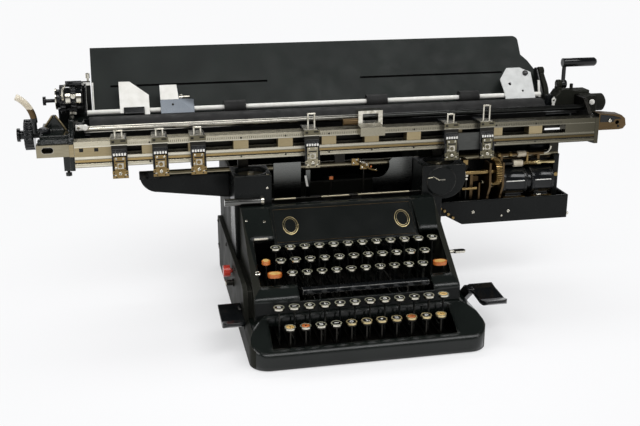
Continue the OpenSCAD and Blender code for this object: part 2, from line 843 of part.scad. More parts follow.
module key_row_2() {
    color([0.6, 0.55, 0.4]) key_row(1);
}

module key_row_3() {
    color([0.6, 0.55, 0.4]) key_row(2);
}

module key_row_4() {
    color([0.6, 0.55, 0.4]) key_row(3);
}

module key_row_5() {
    color([0.6, 0.55, 0.4]) key_row(4);
}

module space_bar() {
    color([0.05, 0.05, 0.05]) {
        box([space_x - space_l / 2, space_x + space_l / 2], [space_y - space_d / 2, space_y + space_d / 2],
            [space_z - space_t, space_z]);
        for (x = space_arms) {
            key_lever(x, upper_fulcrum, space_y, space_z - space_t);
        }
    }
}

// Large oval key top on one lever
module shift_key(x, stem_x) {
    key_lever(stem_x, upper_fulcrum, row_y(2), row_z(2) - key_t);
    translate([x, row_y(2), row_z(2) - key_t]) linear_extrude(key_t)
        rounded(oval_w, key_d, key_d / 2 - 0.1);
}

module shift_key_left() {
    color([0.85, 0.4, 0.2]) shift_key(shift_l, shift_l);
}

module shift_key_right() {
    color([0.85, 0.4, 0.2]) shift_key(shift_r, shift_r_lever);
}

module tab_key() {
    x = row_x(1) - key_pitch;
    color([0.85, 0.6, 0.2]) {
        key_lever(x, upper_fulcrum, row_y(1), row_z(1) - key_t);
        key_top(x, row_y(1), row_z(1), key_d - 2.6);
    }
}

// Cranked paddle beside the base, drawn outwards from its pivot
module paddle(pivot_pin, hub, arm, blade) {
    y = paddle_pivot[0];
    z = paddle_pivot[1];
    blade_l = 79;
    tip_y = y - 85.5;
    corner = 10;
    rod_x(pivot_pin, y, z, pin_r);
    rod_x(hub, y, z, 7);
    along_x(arm[0], arm[1]) polygon([[y - 3, z - 6.3], [y + 5, z + 5], [y - 24, z + 31], [y - 40, z + 31],
        [y - 40, z + 25]]);
    intersection() {
        along_x(blade[0], blade[1]) polygon([[y - 24, z + 29], [y - 24, z + 29 + paddle_t],
            [y - 36, z + 27 + paddle_t], [y - 68, z + 25 + paddle_t], [y - 80, z + 28 + paddle_t],
            [y - 85, z + 29 + paddle_t], [y - 86, z + 29], [y - 80, z + 24.5], [y - 68, z + 22.5],
            [y - 36, z + 26]]);
        translate([(blade[0] + blade[1]) / 2, tip_y + blade_l / 2, 0]) linear_extrude(panel_z)
            rounded(blade[1] - blade[0] + 0.4, blade_l, corner);
    }
}

module paddle_left() {
    color([0.07, 0.08, 0.08])
    paddle([left - gap, left + wall], [left - 8, left - gap], [left - 4, left - gap],
        [left - paddle_w, left - gap - 0.2]);
}

module paddle_right() {
    color([0.07, 0.08, 0.08])
    paddle([right - wall, right + gap], [right + gap, right + 8], [right + gap, right + paddle_reach + 2],
        [right + paddle_reach, right + paddle_reach + paddle_w + 4]);
}

module side_knob_red() {
    color([0.7, 0.1, 0.08]) {
        rod_x([left - 3, frame_l - gap], red_y, red_z, pin_r);
        rod_x([left - 12, left - 3], red_y, red_z, 8);
    }
}

module ribbon_lever() {
    y = ribbon_pivot[0];
    z = ribbon_pivot[1];
    blade = [deck_r + gap, deck_r + 3];
    finger = [18, 9];
    finger_t = 2.8;
    color([0.75, 0.75, 0.77]) {
        rod_x([deck_r - wall, deck_r + gap], y, z, link_r);
        rod_x(blade, y, z, 5);
        along_x(blade[0], blade[1])
            polygon([[y + 2, z + 4.5], [y - 22, z + 10], [y - 24, z + 4], [y - 2, z - 4.5]]);
        rod_x([deck_r + 3, deck_r + 18], y - 19, z + 6, link_r);
        translate([deck_r + 16 + finger[0] / 2, y - 19, z + 6 - finger_t / 2]) linear_extrude(finger_t)
            rounded(finger[0], finger[1], finger[1] / 2 - 0.5);
    }
}

// Carriage frame
module end_outline() {
    polygon([[rail_y, rail_z - 4], [rail_y, rail_top], [beam_y + 2, rail_top], [beam_y + 22, end_top],
        [rear_beam_y + beam_d, end_top], [rear_beam_y + beam_d, beam_z], [rail_y + 18, beam_z]]);
}

module carriage_beam() {
    color([0.15, 0.16, 0.16]) {
        box([rail_x0, rail_x1], [beam_y, beam_y + beam_d], [beam_z, beam_z + beam_h]);
        box([rail_x0, rail_x1], [rear_beam_y, rear_beam_y + beam_d], [beam_z, beam_z + beam_h]);
        for (f = [0.2, 0.5, 0.79]) {
            x = rail_x0 + f * (rail_x1 - rail_x0) - tie_w / 2;
            box([x, x + tie_w], [beam_y + beam_d - over, rear_beam_y + over], [beam_z, beam_z + 5]);
        }
        box([rail_x0, rail_x1 - rail_block - window_pitch / 3], [apron_y, apron_y + apron_t],
            [beam_z + beam_h - over, window_z1 + 1]);
        rod_x([bearing_x, rail_x1], platen_y - platen_r - front_bar_r, platen_z + 9, front_bar_r);
    }
}

module carriage_end_left() {
    outer = rail_x0 - end_t;
    gusset_y = [lever_y + 14, lever_y + 20];
    gusset_z = [casing_top - over, end_top + 5];
    color([0.12, 0.13, 0.12])
    difference() {
        union() {
            along_x(outer, rail_x0) end_outline();
            box([casing_l + 4, outer], [rail_y + 18, casing_y], [casing_z, casing_top]);
            box([casing_l, outer], [rail_y + 1, rail_y + 18], [casing_z + 1, rail_top - 3]);
            box([casing_l + 2, outer], [rail_y + 7, rail_y + 18], [casing_z + 1, casing_top - 3]);
            box([rail_x0 - 14, outer], [rail_y + 2, rail_y + 20], [rail_z - 4, casing_z + 1]);
            box([rail_x0 - over, bearing_x], [platen_y - 23, platen_y + 11], [platen_z - 22, end_top - 4]);
            along_y(gusset_y[0], gusset_y[1]) polygon([[casing_l + 6, gusset_z[0]],
                [casing_l + 20, gusset_z[1]], [casing_l + 24, gusset_z[1]], [outer - 4, gusset_z[0]]]);
            rod_z(rail_x0 - 9, rail_y + 9, [rail_z - 8, rail_z - 4], 2);
            rod_z(rail_x0 - 9, rail_y + 9, [rail_z - 12, rail_z - 8], 4);
        }
        rod_x([casing_l - over, bearing_x + over], platen_y, platen_z, shaft_r + fit);
        translate([casing_l + 14, rail_y + 19, (casing_z + 1 + rail_top) / 2]) rotate([90, 0, 0])
            linear_extrude(20) rounded(15, 8, 3.9);
        rod_z(lever_x, lever_y, [casing_top - 12, casing_top + over], pin_r + fit);
    }
}

module carriage_end_right() {
    outer = rail_x1 + end_t;
    ear_z0 = rail_z + 15;
    ear_z1 = rail_top + 2;
    color([0.25, 0.25, 0.24])
    difference() {
        union() {
            along_x(rail_x1, outer) end_outline();
            along_y(rail_y, rail_y + 20) polygon([[outer - over, ear_z0], [outer - over, ear_z1 + 3],
                [outer + 8, ear_z1 + 3], [outer + ear_w - 4, ear_z1], [outer + ear_w + 2, ear_z1 - 5],
                [outer + ear_w + 4, ear_z0 + 6], [outer + ear_w, ear_z0 + 1], [outer + ear_w - 6, ear_z0]]);
        }
        rod_x([rail_x1 - over, outer + over], platen_y, platen_z, shaft_r + fit);
        rod_y(outer + ear_w - 10, [rail_y - over, rail_y + 21], (ear_z0 + ear_z1) / 2, 3);
    }
}

// Two bars with a groove along the lower one, closed by a block at each end
module register_rail() {
    block_y = [rail_y, rail_back - 2];
    block_z = [window_z0 - over, window_z1 + over];
    color([0.62, 0.62, 0.62])
    difference() {
        union() {
            box([rail_x0, rail_x1], [rail_y, rail_back], [rail_z, window_z0]);
            box([rail_x0, rail_x1], [rail_y, rail_back], [window_z1, rail_top]);
            box([rail_x0, rail_x0 + rail_block], block_y, block_z);
            box([rail_x1 - rail_block, rail_x1], block_y, block_z);
        }
        box([rail_x0 - over, rail_x1 + over], [rail_y - over, rail_y + 1.5], [rail_z + 5, rail_z + 7]);
    }
}

module rail_spacers() {
    color([0.65, 0.52, 0.35])
    for (i = [0:spacer_n - 1]) {
        x = first_spacer + i * window_pitch;
        box([x - spacer_w / 2, x + spacer_w / 2], [rail_y + 1, rail_back - 3], [window_z0, window_z1]);
    }
}

// Paper table, bail and guides
module on_table(y, z) {
    translate([0, y, z]) rotate([90 - table_lean, 0, 0]) children();
}

// Leaning sheet with two pressed grooves and one round corner, on a cross tube
module paper_table() {
    corner = 22;
    groove_h = 40;
    groove_w = 3;
    groove_d = 1;
    color([0.1, 0.14, 0.12]) {
        on_table(table_y, table_z)
            difference() {
                translate([0, 0, -sheet_t]) linear_extrude(sheet_t)
                    difference() {
                        translate([table_x0, 0]) square([table_w, table_l]);
                        translate([table_x1 - corner, table_l - corner])
                            difference() {
                                square(2 * corner);
                                circle(corner);
                            }
                    }
                for (f = [[0.04, 0.385], [0.6, 0.945]]) {
                    translate([table_x0 + f[0] * table_w, groove_h, -groove_d])
                        cube([(f[1] - f[0]) * table_w, groove_w, groove_d + over]);
                }
            }
        rod_x([rail_x0, rail_x1], tube_y, tube_z, tube_r);
    }
}

module bail_arm_outline() {
    translate([bail_y, bail_z]) circle(5);
    translate(bail_pivot) circle(6);
    polygon([[bail_y - 3.6, bail_z + 3], [bail_pivot[0] - 4.6, bail_pivot[1] + 3.5],
        [bail_pivot[0] + 4.6, bail_pivot[1] - 3.5], [bail_y + 3.6, bail_z - 3]]);
}

module paper_bail() {
    arm_t = 3;
    color([0.85, 0.85, 0.84]) {
        rod_x([bail_x0, bail_x1], bail_y, bail_z, bail_r);
        along_x(bail_x0 - arm_t, bail_x0) bail_arm_outline();
        along_x(bail_x1, bail_x1 + arm_t) bail_arm_outline();
        rod_x([bail_x0 - 11, bail_x0 - 2], bail_pivot[0], bail_pivot[1], pin_r);
        rod_x([bail_x1 + 2, bail_x1 + 11], bail_pivot[0], bail_pivot[1], pin_r);
    }
}

module bail_rollers() {
    color([0.08, 0.08, 0.08])
    for (f = roller_at) {
        x = table_x0 + f * table_w;
        difference() {
            rod_x([x - roller_half, x + roller_half], bail_y, bail_z, roller_r);
            rod_x([x - roller_half - over, x + roller_half + over], bail_y, bail_z, bail_r + fit);
        }
    }
}

// Clamp on the bail rod with a sheet in front of it that leans with the table
module guide(clamp) {
    drop = 8;
    guide_t = 1.6;
    half = 5.5;
    stand_off = bail_r + 0.4;
    difference() {
        on_table(bail_y, bail_z) translate([clamp[0], -half, -half])
            cube([clamp[1] - clamp[0], 2 * half, half + stand_off + guide_t / 2]);
        rod_x([clamp[0] - over, clamp[1] + over], bail_y, bail_z, bail_r + 0.08);
    }
    on_table(bail_y, bail_z) translate([0, -drop, stand_off]) linear_extrude(guide_t) children();
}

module guide_left() {
    x = table_x0 + 37;
    color([0.9, 0.9, 0.88])
    guide([x + 5, x + 33]) polygon([[x, 3], [x, 50], [x + 15, 50], [x + 40, 29], [x + 40, 0], [x + 33, 0],
        [x + 33, 3]]);
}

module guide_middle() {
    x = table_x0 + 92;
    color([0.6, 0.6, 0.62])
    guide([x + 5, x + 42]) polygon([[x, 0], [x, 43], [x + 24, 43], [x + 26, 22], [x + 46, 20], [x + 46, 0]]);
}

module guide_right() {
    x = table_x1 - 50;
    color([0.75, 0.75, 0.77])
    guide([x + 8, x + 40])
        difference() {
            polygon([[x + 3, 0], [x + 3, 10], [x, 32], [x + 13, 50], [x + 34, 50], [x + 50, 42],
                [x + 50, 0]]);
            translate([x + 14, 24]) circle(2.4);
        }
}

// End mechanisms
module ratchet_outline(n, r) {
    depth = 2.2;
    a = 360 / n;
    difference() {
        circle(r);
        for (i = [0:n - 1]) {
            rotate(i * a) translate([r, 0]) circle(depth, $fn = 12);
        }
    }
}

// Stack of drums and ratchet wheels on one axis, with a release rod above
module linespace_housing() {
    outer = rail_x0 - end_t;
    inner = bail_x0 - 4.5;
    color([0.2, 0.21, 0.21])
    difference() {
        union() {
            box([outer, rail_x0 + 4], [drum_axis_y - 10, drum_axis_y + 10], [end_top, drum_axis_z]);
            rod_x([outer - 16, outer - 11], drum_axis_y, drum_axis_z, 13);
            along_x(outer - 11, outer - 4) translate([drum_axis_y, drum_axis_z]) ratchet_outline(18, 19);
            rod_x([outer - 4, outer + 3], drum_axis_y, drum_axis_z, 15);
            along_x(outer + 3, outer + 10) translate([drum_axis_y, drum_axis_z]) ratchet_outline(18, 18);
            rod_x([outer + 10, inner], drum_axis_y, drum_axis_z, 14);
            rod_x([outer - 3, inner - 0.5], drum_axis_y, drum_axis_z + 20, 4);
            rod_x([outer - 30, outer - 15], drum_axis_y, drum_axis_z - 2, 2.5);
            rod_x([outer - 34, outer - 30], drum_axis_y, drum_axis_z - 2, 6);
            box([bail_x0 - 12, inner], [drum_axis_y + 5, bail_pivot[0] + 7],
                [bail_pivot[1] - 7, bail_pivot[1] + 7]);
        }
        rod_x([bail_x0 - 13, bail_x0 - 3], bail_pivot[0], bail_pivot[1], pin_r + fit);
    }
}

module feed_housing() {
    block_y = [95, 118];
    shelf_z = [end_top, end_top + 5];
    cover_x = [bail_x1 + 15, rail_x1 + 22];
    cover_z = [platen_z + 2, end_top + 8];
    bracket = [bail_x1 + 4.5, bail_x1 + 12];
    knob_y = 92;
    knob_z = platen_z + 9;
    cap = rail_x1 + 44;
    color([0.1, 0.11, 0.11])
    difference() {
        union() {
            box([bail_x1 + 18, rail_x1], block_y, [cover_z[0], shelf_z[1]]);
            box([rail_x1, rail_x1 + 26], block_y, shelf_z);
            along_y(block_y[0] - 4, block_y[0] + over) polygon([[cover_x[0], cover_z[0]],
                [cover_x[0], cover_z[1] - 10], [cover_x[0] + 8, cover_z[1]], [rail_x1 - 6, cover_z[1]],
                [rail_x1 + 8, cover_z[1] - 4], [cover_x[1], cover_z[1] - 4], [cover_x[1], end_top + 0.5],
                [rail_x1, end_top + 0.5], [rail_x1, cover_z[0]]]);
            box([rail_x1 + end_t, rail_x1 + 26], [70, block_y[1]], [platen_z - 4, end_top + 1]);
            rod_x([rail_x1 + 26, cap], knob_y, knob_z, 13);
            cone_x([cap, cap + 4], knob_y, knob_z, 13, 8);
            box(bracket, [drum_axis_y + 5, bail_pivot[0] + 7], [bail_pivot[1] - 7, bail_pivot[1] + 7]);
            box(bracket, [100, drum_axis_y + 10], [end_top - 4, bail_pivot[1] + 7]);
            box([bracket[1] - over, bail_x1 + 19], [100, block_y[1]], [end_top - 4, shelf_z[1]]);
            box([crank_x - 10, crank_x - 4.3], [crank_y - 7, crank_y + 7], [end_top + 4, crank_z + 7]);
            rod_z(crank_x + 14, crank_y, [end_top + 4, end_top + 14], 2.5);
        }
        rod_x([bail_x1 + 3, bail_x1 + 13], bail_pivot[0], bail_pivot[1], pin_r + fit);
        rod_x([crank_x - 11, crank_x - 4], crank_y, crank_z, pin_r + fit);
    }
}

module feed_crank() {
    grip_z = crank_z + crank_l;
    grip_r = 6.5;
    color([0.1, 0.1, 0.1]) {
        rod_x([crank_x - 10, crank_x - 4], crank_y, crank_z, pin_r);
        rod_x([crank_x - 4, crank_x + 4], crank_y, crank_z, 6);
        rod_z(crank_x, crank_y, [crank_z, grip_z], pin_r);
        rod_x([crank_x - 3, crank_x + grip_l - 6], crank_y, grip_z, grip_r);
        cone_x([crank_x + grip_l - 6, crank_x + grip_l - 3], crank_y, grip_z, grip_r, grip_r - 2);
    }
}

module platen() {
    color([0.1, 0.1, 0.1]) {
        rod_x([platen_x0, platen_x1], platen_y, platen_z, platen_r);
        rod_x([casing_l - 18, rail_x1 + end_t], platen_y, platen_z, shaft_r);
    }
}

// Fluted hand wheel with a small release disc at its end
module platen_knob() {
    flute_r = 2.4;
    flute_n = 20;
    color([0.08, 0.08, 0.08]) {
        difference() {
            rod_x([casing_l - 18, casing_l - 6], platen_y, platen_z, knob_r);
            rod_x([casing_l - 19, casing_l - 5], platen_y, platen_z, shaft_r);
            for (i = [0:flute_n - 1]) {
                a = i * 360 / flute_n;
                rod_x([casing_l - 19, casing_l - 5], platen_y + (knob_r + 1) * cos(a),
                    platen_z + (knob_r + 1) * sin(a), flute_r, $fn = 16);
            }
        }
        rod_x([casing_l - 24, casing_l - 18], platen_y, platen_z, 6);
        rod_x([casing_l - 28, casing_l - 24], platen_y, platen_z, 9);
    }
}

module linespace_lever() {
    stem_x = lever_x - 12;
    sweep_r = 39;
    color([0.88, 0.84, 0.72]) {
        rod_z(lever_x, lever_y, [casing_top - 11, casing_top + gap], pin_r);
        rod_z(lever_x, lever_y, [casing_top + gap, casing_top + 7], 7);
        rod_x([stem_x, lever_x], lever_y, casing_top + 4, 2.4);
        rod_z(stem_x, lever_y, [casing_top + 0.6, casing_top + 18], pin_r);
        translate([stem_x - sweep_r, lever_y, casing_top + 15]) rotate([90, 0, 0])
            rotate_extrude(angle = 62) translate([sweep_r, 0]) circle(4.2);
    }
}

// Totalisers hang on the rail
module rail_clamp(x0, x1, z0) {
    hook_z = rail_top - 6;
    cover_z = rail_top + 4;
    along_x(x0, x1) polygon([[unit_y, z0], [rail_y - gap, z0], [rail_y - gap, rail_top + gap],
        [rail_back + gap, rail_top + gap], [rail_back + gap, hook_z], [rail_back + 3.5, hook_z],
        [rail_back + 3.5, cover_z], [unit_y, cover_z]]);
}

// Clamp with number wheels in its face, a screwed plate below and a wire loop above
module totaliser(x, top) {
    wheel_n = 5;
    wheel_w = 3;
    wheel_r = 4.4;
    wheel_z = window_z0 + 4;
    wire_r = 1.2;
    wire_y = unit_y + 6;
    cheek_t = 1.8;
    rail_clamp(x - unit_half, x + unit_half, rail_z - 3);
    box([x - unit_half + 1, x + unit_half - 1], [unit_y - 2.5, unit_y], [rail_z - 13, rail_z + 8]);
    for (i = [-1, 1]) {
        translate([x + i * (unit_half - cheek_t / 2), 0, 0])
            box([-cheek_t / 2, cheek_t / 2], [unit_y - 4, unit_y + over], [rail_z - 11, rail_z + 10]);
        rod_y(x + i * (unit_half - 4), [unit_y - 4, unit_y - 2.5], rail_z - 9.5, 2);
        rod_z(x + i * 4.4, wire_y, [rail_top + 3, top], wire_r);
    }
    for (i = [0:wheel_n - 1]) {
        wx = x + (i - (wheel_n - 1) / 2) * (wheel_w + 0.5);
        rod_x([wx - wheel_w / 2, wx + wheel_w / 2], unit_y + 1.5, wheel_z, wheel_r);
    }
    rod_x([x - 5.6, x + 5.6], wire_y, top, wire_r);
}

module unit(i) {
    color([0.12, 0.12, 0.12]) totaliser(rail_x0 + unit_at[i], loop_top[i]);
}

module totaliser_1() {
    unit(0);
}

module totaliser_2() {
    unit(1);
}

module totaliser_3() {
    unit(2);
}

module totaliser_4() {
    unit(3);
}

module register_unit() {
    unit(4);
    unit(5);
    color([0.5, 0.5, 0.5])
    box([rail_x0 + unit_at[4] + unit_half - over, rail_x0 + unit_at[5] - unit_half + over],
        [unit_y + 3, unit_y + 7], [rail_z - 1, rail_z + 23]);
}

module margin_block() {
    w = 34;
    color([0.75, 0.75, 0.76]) {
        rail_clamp(block_x, block_x + w, rail_top - 8);
        difference() {
            box([block_x, block_x + w], [rail_y + 2, rail_back - 2], [rail_top + 4, rail_top + 24]);
            box([block_x + 6, block_x + w - 6], [rail_y + over, rail_back - over],
                [rail_top + 7, rail_top + 20]);
        }
        rod_x([block_x - 20, block_x + over], rail_y + 10, rail_top + 8, 4.5);
    }
}

base_pan();
bottom_plate();
rubber_feet();
keyboard_deck();
front_plate();
side_panel_left();
spool_housing_left();
spool_housing_right();
rear_frame();
rear_cover();
way_rods();
support_arm_left();
motor_tray();
motor_housing();
gear_bracket();
type_segment();
typebars();
key_shafts();
card_holders();
key_row_1();
key_row_2();
key_row_3();
key_row_4();
key_row_5();
space_bar();
shift_key_left();
shift_key_right();
tab_key();
paddle_left();
paddle_right();
side_knob_red();
ribbon_lever();
ribbon_spool_left();
ribbon_spool_right();
motor_rotor();
drive_gear();
spring_drum();
carriage_beam();
carriage_end_left();
carriage_end_right();
register_rail();
rail_spacers();
paper_table();
linespace_housing();
feed_housing();
platen();
platen_knob();
paper_bail();
bail_rollers();
guide_left();
guide_middle();
guide_right();
linespace_lever();
feed_crank();
totaliser_1();
totaliser_2();
totaliser_3();
totaliser_4();
register_unit();
margin_block();
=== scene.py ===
"""Dresses the long-carriage typewriter adding machine: camera, light, finishes and small fittings.

Sizes in this script are millimetres in the machine's frame unless a name says otherwise:
X runs to the machine's right, Y to the back and Z up from the table.
"""

import json
from itertools import product
from math import copysign, cos, pi, radians, sin

import bmesh
import bpy
from mathutils import Matrix, Vector

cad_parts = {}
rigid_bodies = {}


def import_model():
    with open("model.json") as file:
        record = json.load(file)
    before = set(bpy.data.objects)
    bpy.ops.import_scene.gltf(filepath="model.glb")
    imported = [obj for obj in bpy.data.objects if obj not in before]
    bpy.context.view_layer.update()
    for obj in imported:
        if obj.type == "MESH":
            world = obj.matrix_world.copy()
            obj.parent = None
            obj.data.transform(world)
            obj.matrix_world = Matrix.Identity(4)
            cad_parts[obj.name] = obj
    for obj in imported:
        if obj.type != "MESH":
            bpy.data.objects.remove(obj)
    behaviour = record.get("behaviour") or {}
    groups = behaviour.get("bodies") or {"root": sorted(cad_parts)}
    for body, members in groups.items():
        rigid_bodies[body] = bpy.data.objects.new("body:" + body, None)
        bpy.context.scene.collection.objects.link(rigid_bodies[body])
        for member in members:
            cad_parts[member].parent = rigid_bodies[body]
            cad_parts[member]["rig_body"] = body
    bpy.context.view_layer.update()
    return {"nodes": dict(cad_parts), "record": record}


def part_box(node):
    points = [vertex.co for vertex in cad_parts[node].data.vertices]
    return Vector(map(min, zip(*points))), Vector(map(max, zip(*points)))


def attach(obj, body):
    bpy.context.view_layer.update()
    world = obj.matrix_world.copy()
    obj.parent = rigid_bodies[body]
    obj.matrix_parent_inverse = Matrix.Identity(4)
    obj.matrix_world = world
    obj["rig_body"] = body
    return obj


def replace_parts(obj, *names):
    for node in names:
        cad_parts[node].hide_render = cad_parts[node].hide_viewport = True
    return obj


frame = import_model()
nodes = frame["nodes"]
scene = bpy.context.scene
MM = 0.001


# Camera

CAMERA_AT = (-280.3, -1199.8, 533.4)
CAMERA_HEADING = 11.79
CAMERA_PITCH = 18.14
FOCAL_PIXELS = 945.04
IMAGE_WIDTH = 640
SENSOR_WIDTH = 36.0


def add_camera():
    camera = bpy.data.objects.new("camera", bpy.data.cameras.new("camera"))
    scene.collection.objects.link(camera)
    camera.data.sensor_width = SENSOR_WIDTH
    camera.data.lens = FOCAL_PIXELS / IMAGE_WIDTH * SENSOR_WIDTH
    camera.location = Vector(CAMERA_AT) * MM
    camera.rotation_euler = (radians(90 - CAMERA_PITCH), 0, radians(-CAMERA_HEADING))
    scene.camera = camera


# Shader nodes

COAT_ROUGHNESS = 0.12


class NodeTree:
    """A tree of shader nodes with short ways to add and link them."""

    def __init__(self, owner):
        owner.use_nodes = True
        self.tree = owner.node_tree

    def fill(self, node, inputs):
        """Sets inputs by name or number: an output of another node is linked, all else is a value."""
        for key, value in inputs.items():
            if isinstance(value, bpy.types.NodeSocket):
                self.tree.links.new(value, node.inputs[key])
            else:
                node.inputs[key].default_value = value

    def add(self, kind, inputs=None, **settings):
        made = self.tree.nodes.new("ShaderNode" + kind)
        for key, value in settings.items():
            setattr(made, key, value)
        self.fill(made, inputs or {})
        return made

    def combine(self, operation, a, b):
        """One sum on two values."""
        return self.add("Math", {0: a, 1: b}, operation=operation).outputs[0]

    def map_range(self, value, from_range, to_range, kind="LINEAR"):
        names = ("Value", "From Min", "From Max", "To Min", "To Max")
        inputs = dict(zip(names, (value, *from_range, *to_range)))
        return self.add("MapRange", inputs, interpolation_type=kind).outputs[0]

    def seen_directly(self):
        """1 for rays that show the background itself: from the camera, a reflection or glass."""
        rays = self.add("LightPath").outputs
        first = self.combine("MAXIMUM", rays["Is Camera Ray"], rays["Is Glossy Ray"])
        return self.combine("MAXIMUM", first, rays["Is Transmission Ray"])


class Shader(NodeTree):
    """A Principled material whose colour, roughness and relief come from noise in the machine's frame."""

    def __init__(self, name, metallic=0.0, coat=0.0, specular=0.5):
        self.material = bpy.data.materials.new(name)
        super().__init__(self.material)
        self.bsdf = self.tree.nodes["Principled BSDF"]
        self.fill(self.bsdf, {"Metallic": metallic, "Specular IOR Level": specular, "Coat Weight": coat,
                              "Coat Roughness": COAT_ROUGHNESS})
        self.coords = self.add("TexCoord").outputs["Object"]

    def noise(self, size_mm, detail=4.0, stretch=(1, 1, 1)):
        mapping = self.add("Mapping", {"Vector": self.coords, "Scale": stretch})
        noise = self.add("TexNoise", {"Vector": mapping.outputs[0], "Scale": 1 / MM / size_mm,
                                      "Detail": detail})
        return noise.outputs["Fac"]

    def ramp(self, value, stops):
        ramp = self.add("ValToRGB", {"Fac": value})
        elements = ramp.color_ramp.elements
        while len(elements) < len(stops):
            elements.new(0.5)
        for element, (place, colour) in zip(elements, stops):
            element.position = place
            element.color = (*colour, 1)
        return ramp.outputs["Color"]

    def mix(self, factor, a, b):
        a, b = [(*c, 1) if isinstance(c, tuple) else c for c in (a, b)]
        return self.add("Mix", {"Factor": factor, "A": a, "B": b}, data_type="RGBA").outputs["Result"]

    def edge(self, radius_mm):
        """Near 1 along sharp edges and 0 on flat stretches."""
        rounded = self.add("Bevel", {"Radius": radius_mm * MM}, samples=4).outputs[0]
        normal = self.add("NewGeometry").outputs["Normal"]
        dot = self.add("VectorMath", {0: rounded, 1: normal}, operation="DOT_PRODUCT")
        return self.map_range(dot.outputs["Value"], (1.0, 0.86), (0.0, 1.0))

    def colour(self, socket):
        self.fill(self.bsdf, {"Base Color": socket})

    def roughness(self, value, low, high):
        self.fill(self.bsdf, {"Roughness": self.map_range(value, (0.3, 0.7), (low, high))})

    def relief(self, value, height_mm, strength=1.0, rounding_mm=0.0):
        """Fine relief, over edges that catch the light as if pressed round."""
        bump = self.add("Bump", {"Height": value, "Strength": strength, "Distance": height_mm * MM})
        self.fill(self.bsdf, {"Normal": bump.outputs[0]})
        if rounding_mm:
            rounded = self.add("Bevel", {"Radius": rounding_mm * MM}, samples=8)
            self.fill(bump, {"Normal": rounded.outputs[0]})

    def surface(self, dark, light, rough, clouds, patches, grain, relief, stops=(0.3, 0.7)):
        """Clouds of two colours, patches of gloss and a fine grain."""
        self.colour(self.ramp(self.noise(clouds), list(zip(stops, (dark, light)))))
        self.roughness(self.noise(patches), *rough)
        self.relief(self.noise(*grain), *relief)
        return self.material


# Light, world and floor

PAPER = (0.86, 0.86, 0.87, 1)
PAPER_ROUGHNESS = 0.9
BACKDROP = (0.955, 0.957, 0.965, 1)
FLOOR_HALF = 6000
FLOOR_FADE_METRES = (0.1, 0.6)
FLOOR_LIFT = 0.45
AMBIENT = 0.42
CEILING = 0.12
CEILING_RISE = (0.0, 0.35)
LIGHT_AIM = (0, 0, 150)


def add_area_light(name, place, size, power):
    light = bpy.data.objects.new(name, bpy.data.lights.new(name, "AREA"))
    scene.collection.objects.link(light)
    light.data.shape = "RECTANGLE"
    light.data.size, light.data.size_y = (side * MM for side in size)
    light.data.energy = power
    light.location = Vector(place) * MM
    direction = Vector(LIGHT_AIM) * MM - light.location
    light.rotation_euler = direction.to_track_quat("-Z", "Y").to_euler()


def add_world():
    """Even ambient light; reflections see a white horizon under a darker studio ceiling."""
    scene.world = bpy.data.worlds.new("studio")
    sky = NodeTree(scene.world)
    direction = sky.add("SeparateXYZ", {0: sky.add("TexCoord").outputs["Generated"]})
    ceiling = sky.map_range(direction.outputs["Z"], CEILING_RISE, (1.0, CEILING))
    strength = sky.add("Mix", {"Factor": sky.seen_directly(), "A": AMBIENT, "B": ceiling})
    sky.fill(sky.tree.nodes["Background"], {"Color": BACKDROP, "Strength": strength.outputs["Result"]})


def add_floor():
    """Pale paper that keeps the shadow near the machine and runs out into the backdrop's white."""
    half = FLOOR_HALF * MM
    mesh = bpy.data.meshes.new("floor")
    corners = [(-half, -half, 0), (half, -half, 0), (half, half, 0), (-half, half, 0)]
    mesh.from_pydata(corners, [], [(0, 1, 2, 3)])
    floor = bpy.data.objects.new("floor", mesh)
    scene.collection.objects.link(floor)
    paper = Shader("studio_paper", specular=0.1)
    paper.fill(paper.bsdf, {"Base Color": PAPER, "Roughness": PAPER_ROUGHNESS})
    distance = paper.add("VectorMath", {0: paper.coords}, operation="LENGTH").outputs["Value"]
    fade = paper.map_range(distance, FLOOR_FADE_METRES, (FLOOR_LIFT, 1.0), "SMOOTHSTEP")
    shown = paper.combine("MULTIPLY", fade, paper.seen_directly())
    far = paper.add("Emission", {"Color": BACKDROP})
    mix = paper.add("MixShader", {0: shown, 1: paper.bsdf.outputs[0], 2: far.outputs[0]})
    paper.fill(paper.tree.nodes["Material Output"], {"Surface": mix.outputs[0]})
    mesh.materials.append(paper.material)


def add_studio():
    add_world()
    add_floor()
    add_area_light("front_light", (350, -1150, 1850), (2000, 650), 26)
    add_area_light("left_light", (-1300, -800, 1300), (700, 700), 9)
    add_area_light("back_light", (0, 1100, 1700), (2000, 500), 14)


# Materials

BARE_METAL = (0.32, 0.3, 0.26)
ALONG_X = (0.04, 1, 1)
ALONG_Z = (1, 1, 0.05)
GLOSSY = (0.08, 0.18)
SATIN = (0.34, 0.5)
MATT = (0.4, 0.55)
RAIL_REACH = (-330, 420)


def enamel(name, dark, light, rough=(0.2, 0.36), worn=0.3, specular=0.34, rounding_mm=0.0):
    """Old stoved enamel: slight orange peel, cloudy gloss and bare metal showing along the edges."""
    s = Shader(name, specular=specular)
    paint = s.ramp(s.noise(60), [(0.3, dark), (0.75, light)])
    patches = s.map_range(s.noise(14), (0.45, 0.7), (0.0, worn))
    s.colour(s.mix(s.combine("MULTIPLY", s.edge(1.2), patches), paint, BARE_METAL))
    s.roughness(s.noise(35), *rough)
    s.relief(s.noise(1.6, 2.0), 0.06, 0.5, rounding_mm)
    return s.material


def crinkle(name, dark, light):
    """Matt crinkle paint on sheet metal."""
    return Shader(name, specular=0.2).surface(dark, light, (0.42, 0.6), 40, 20, (1.1, 3.0), (0.12, 0.8))


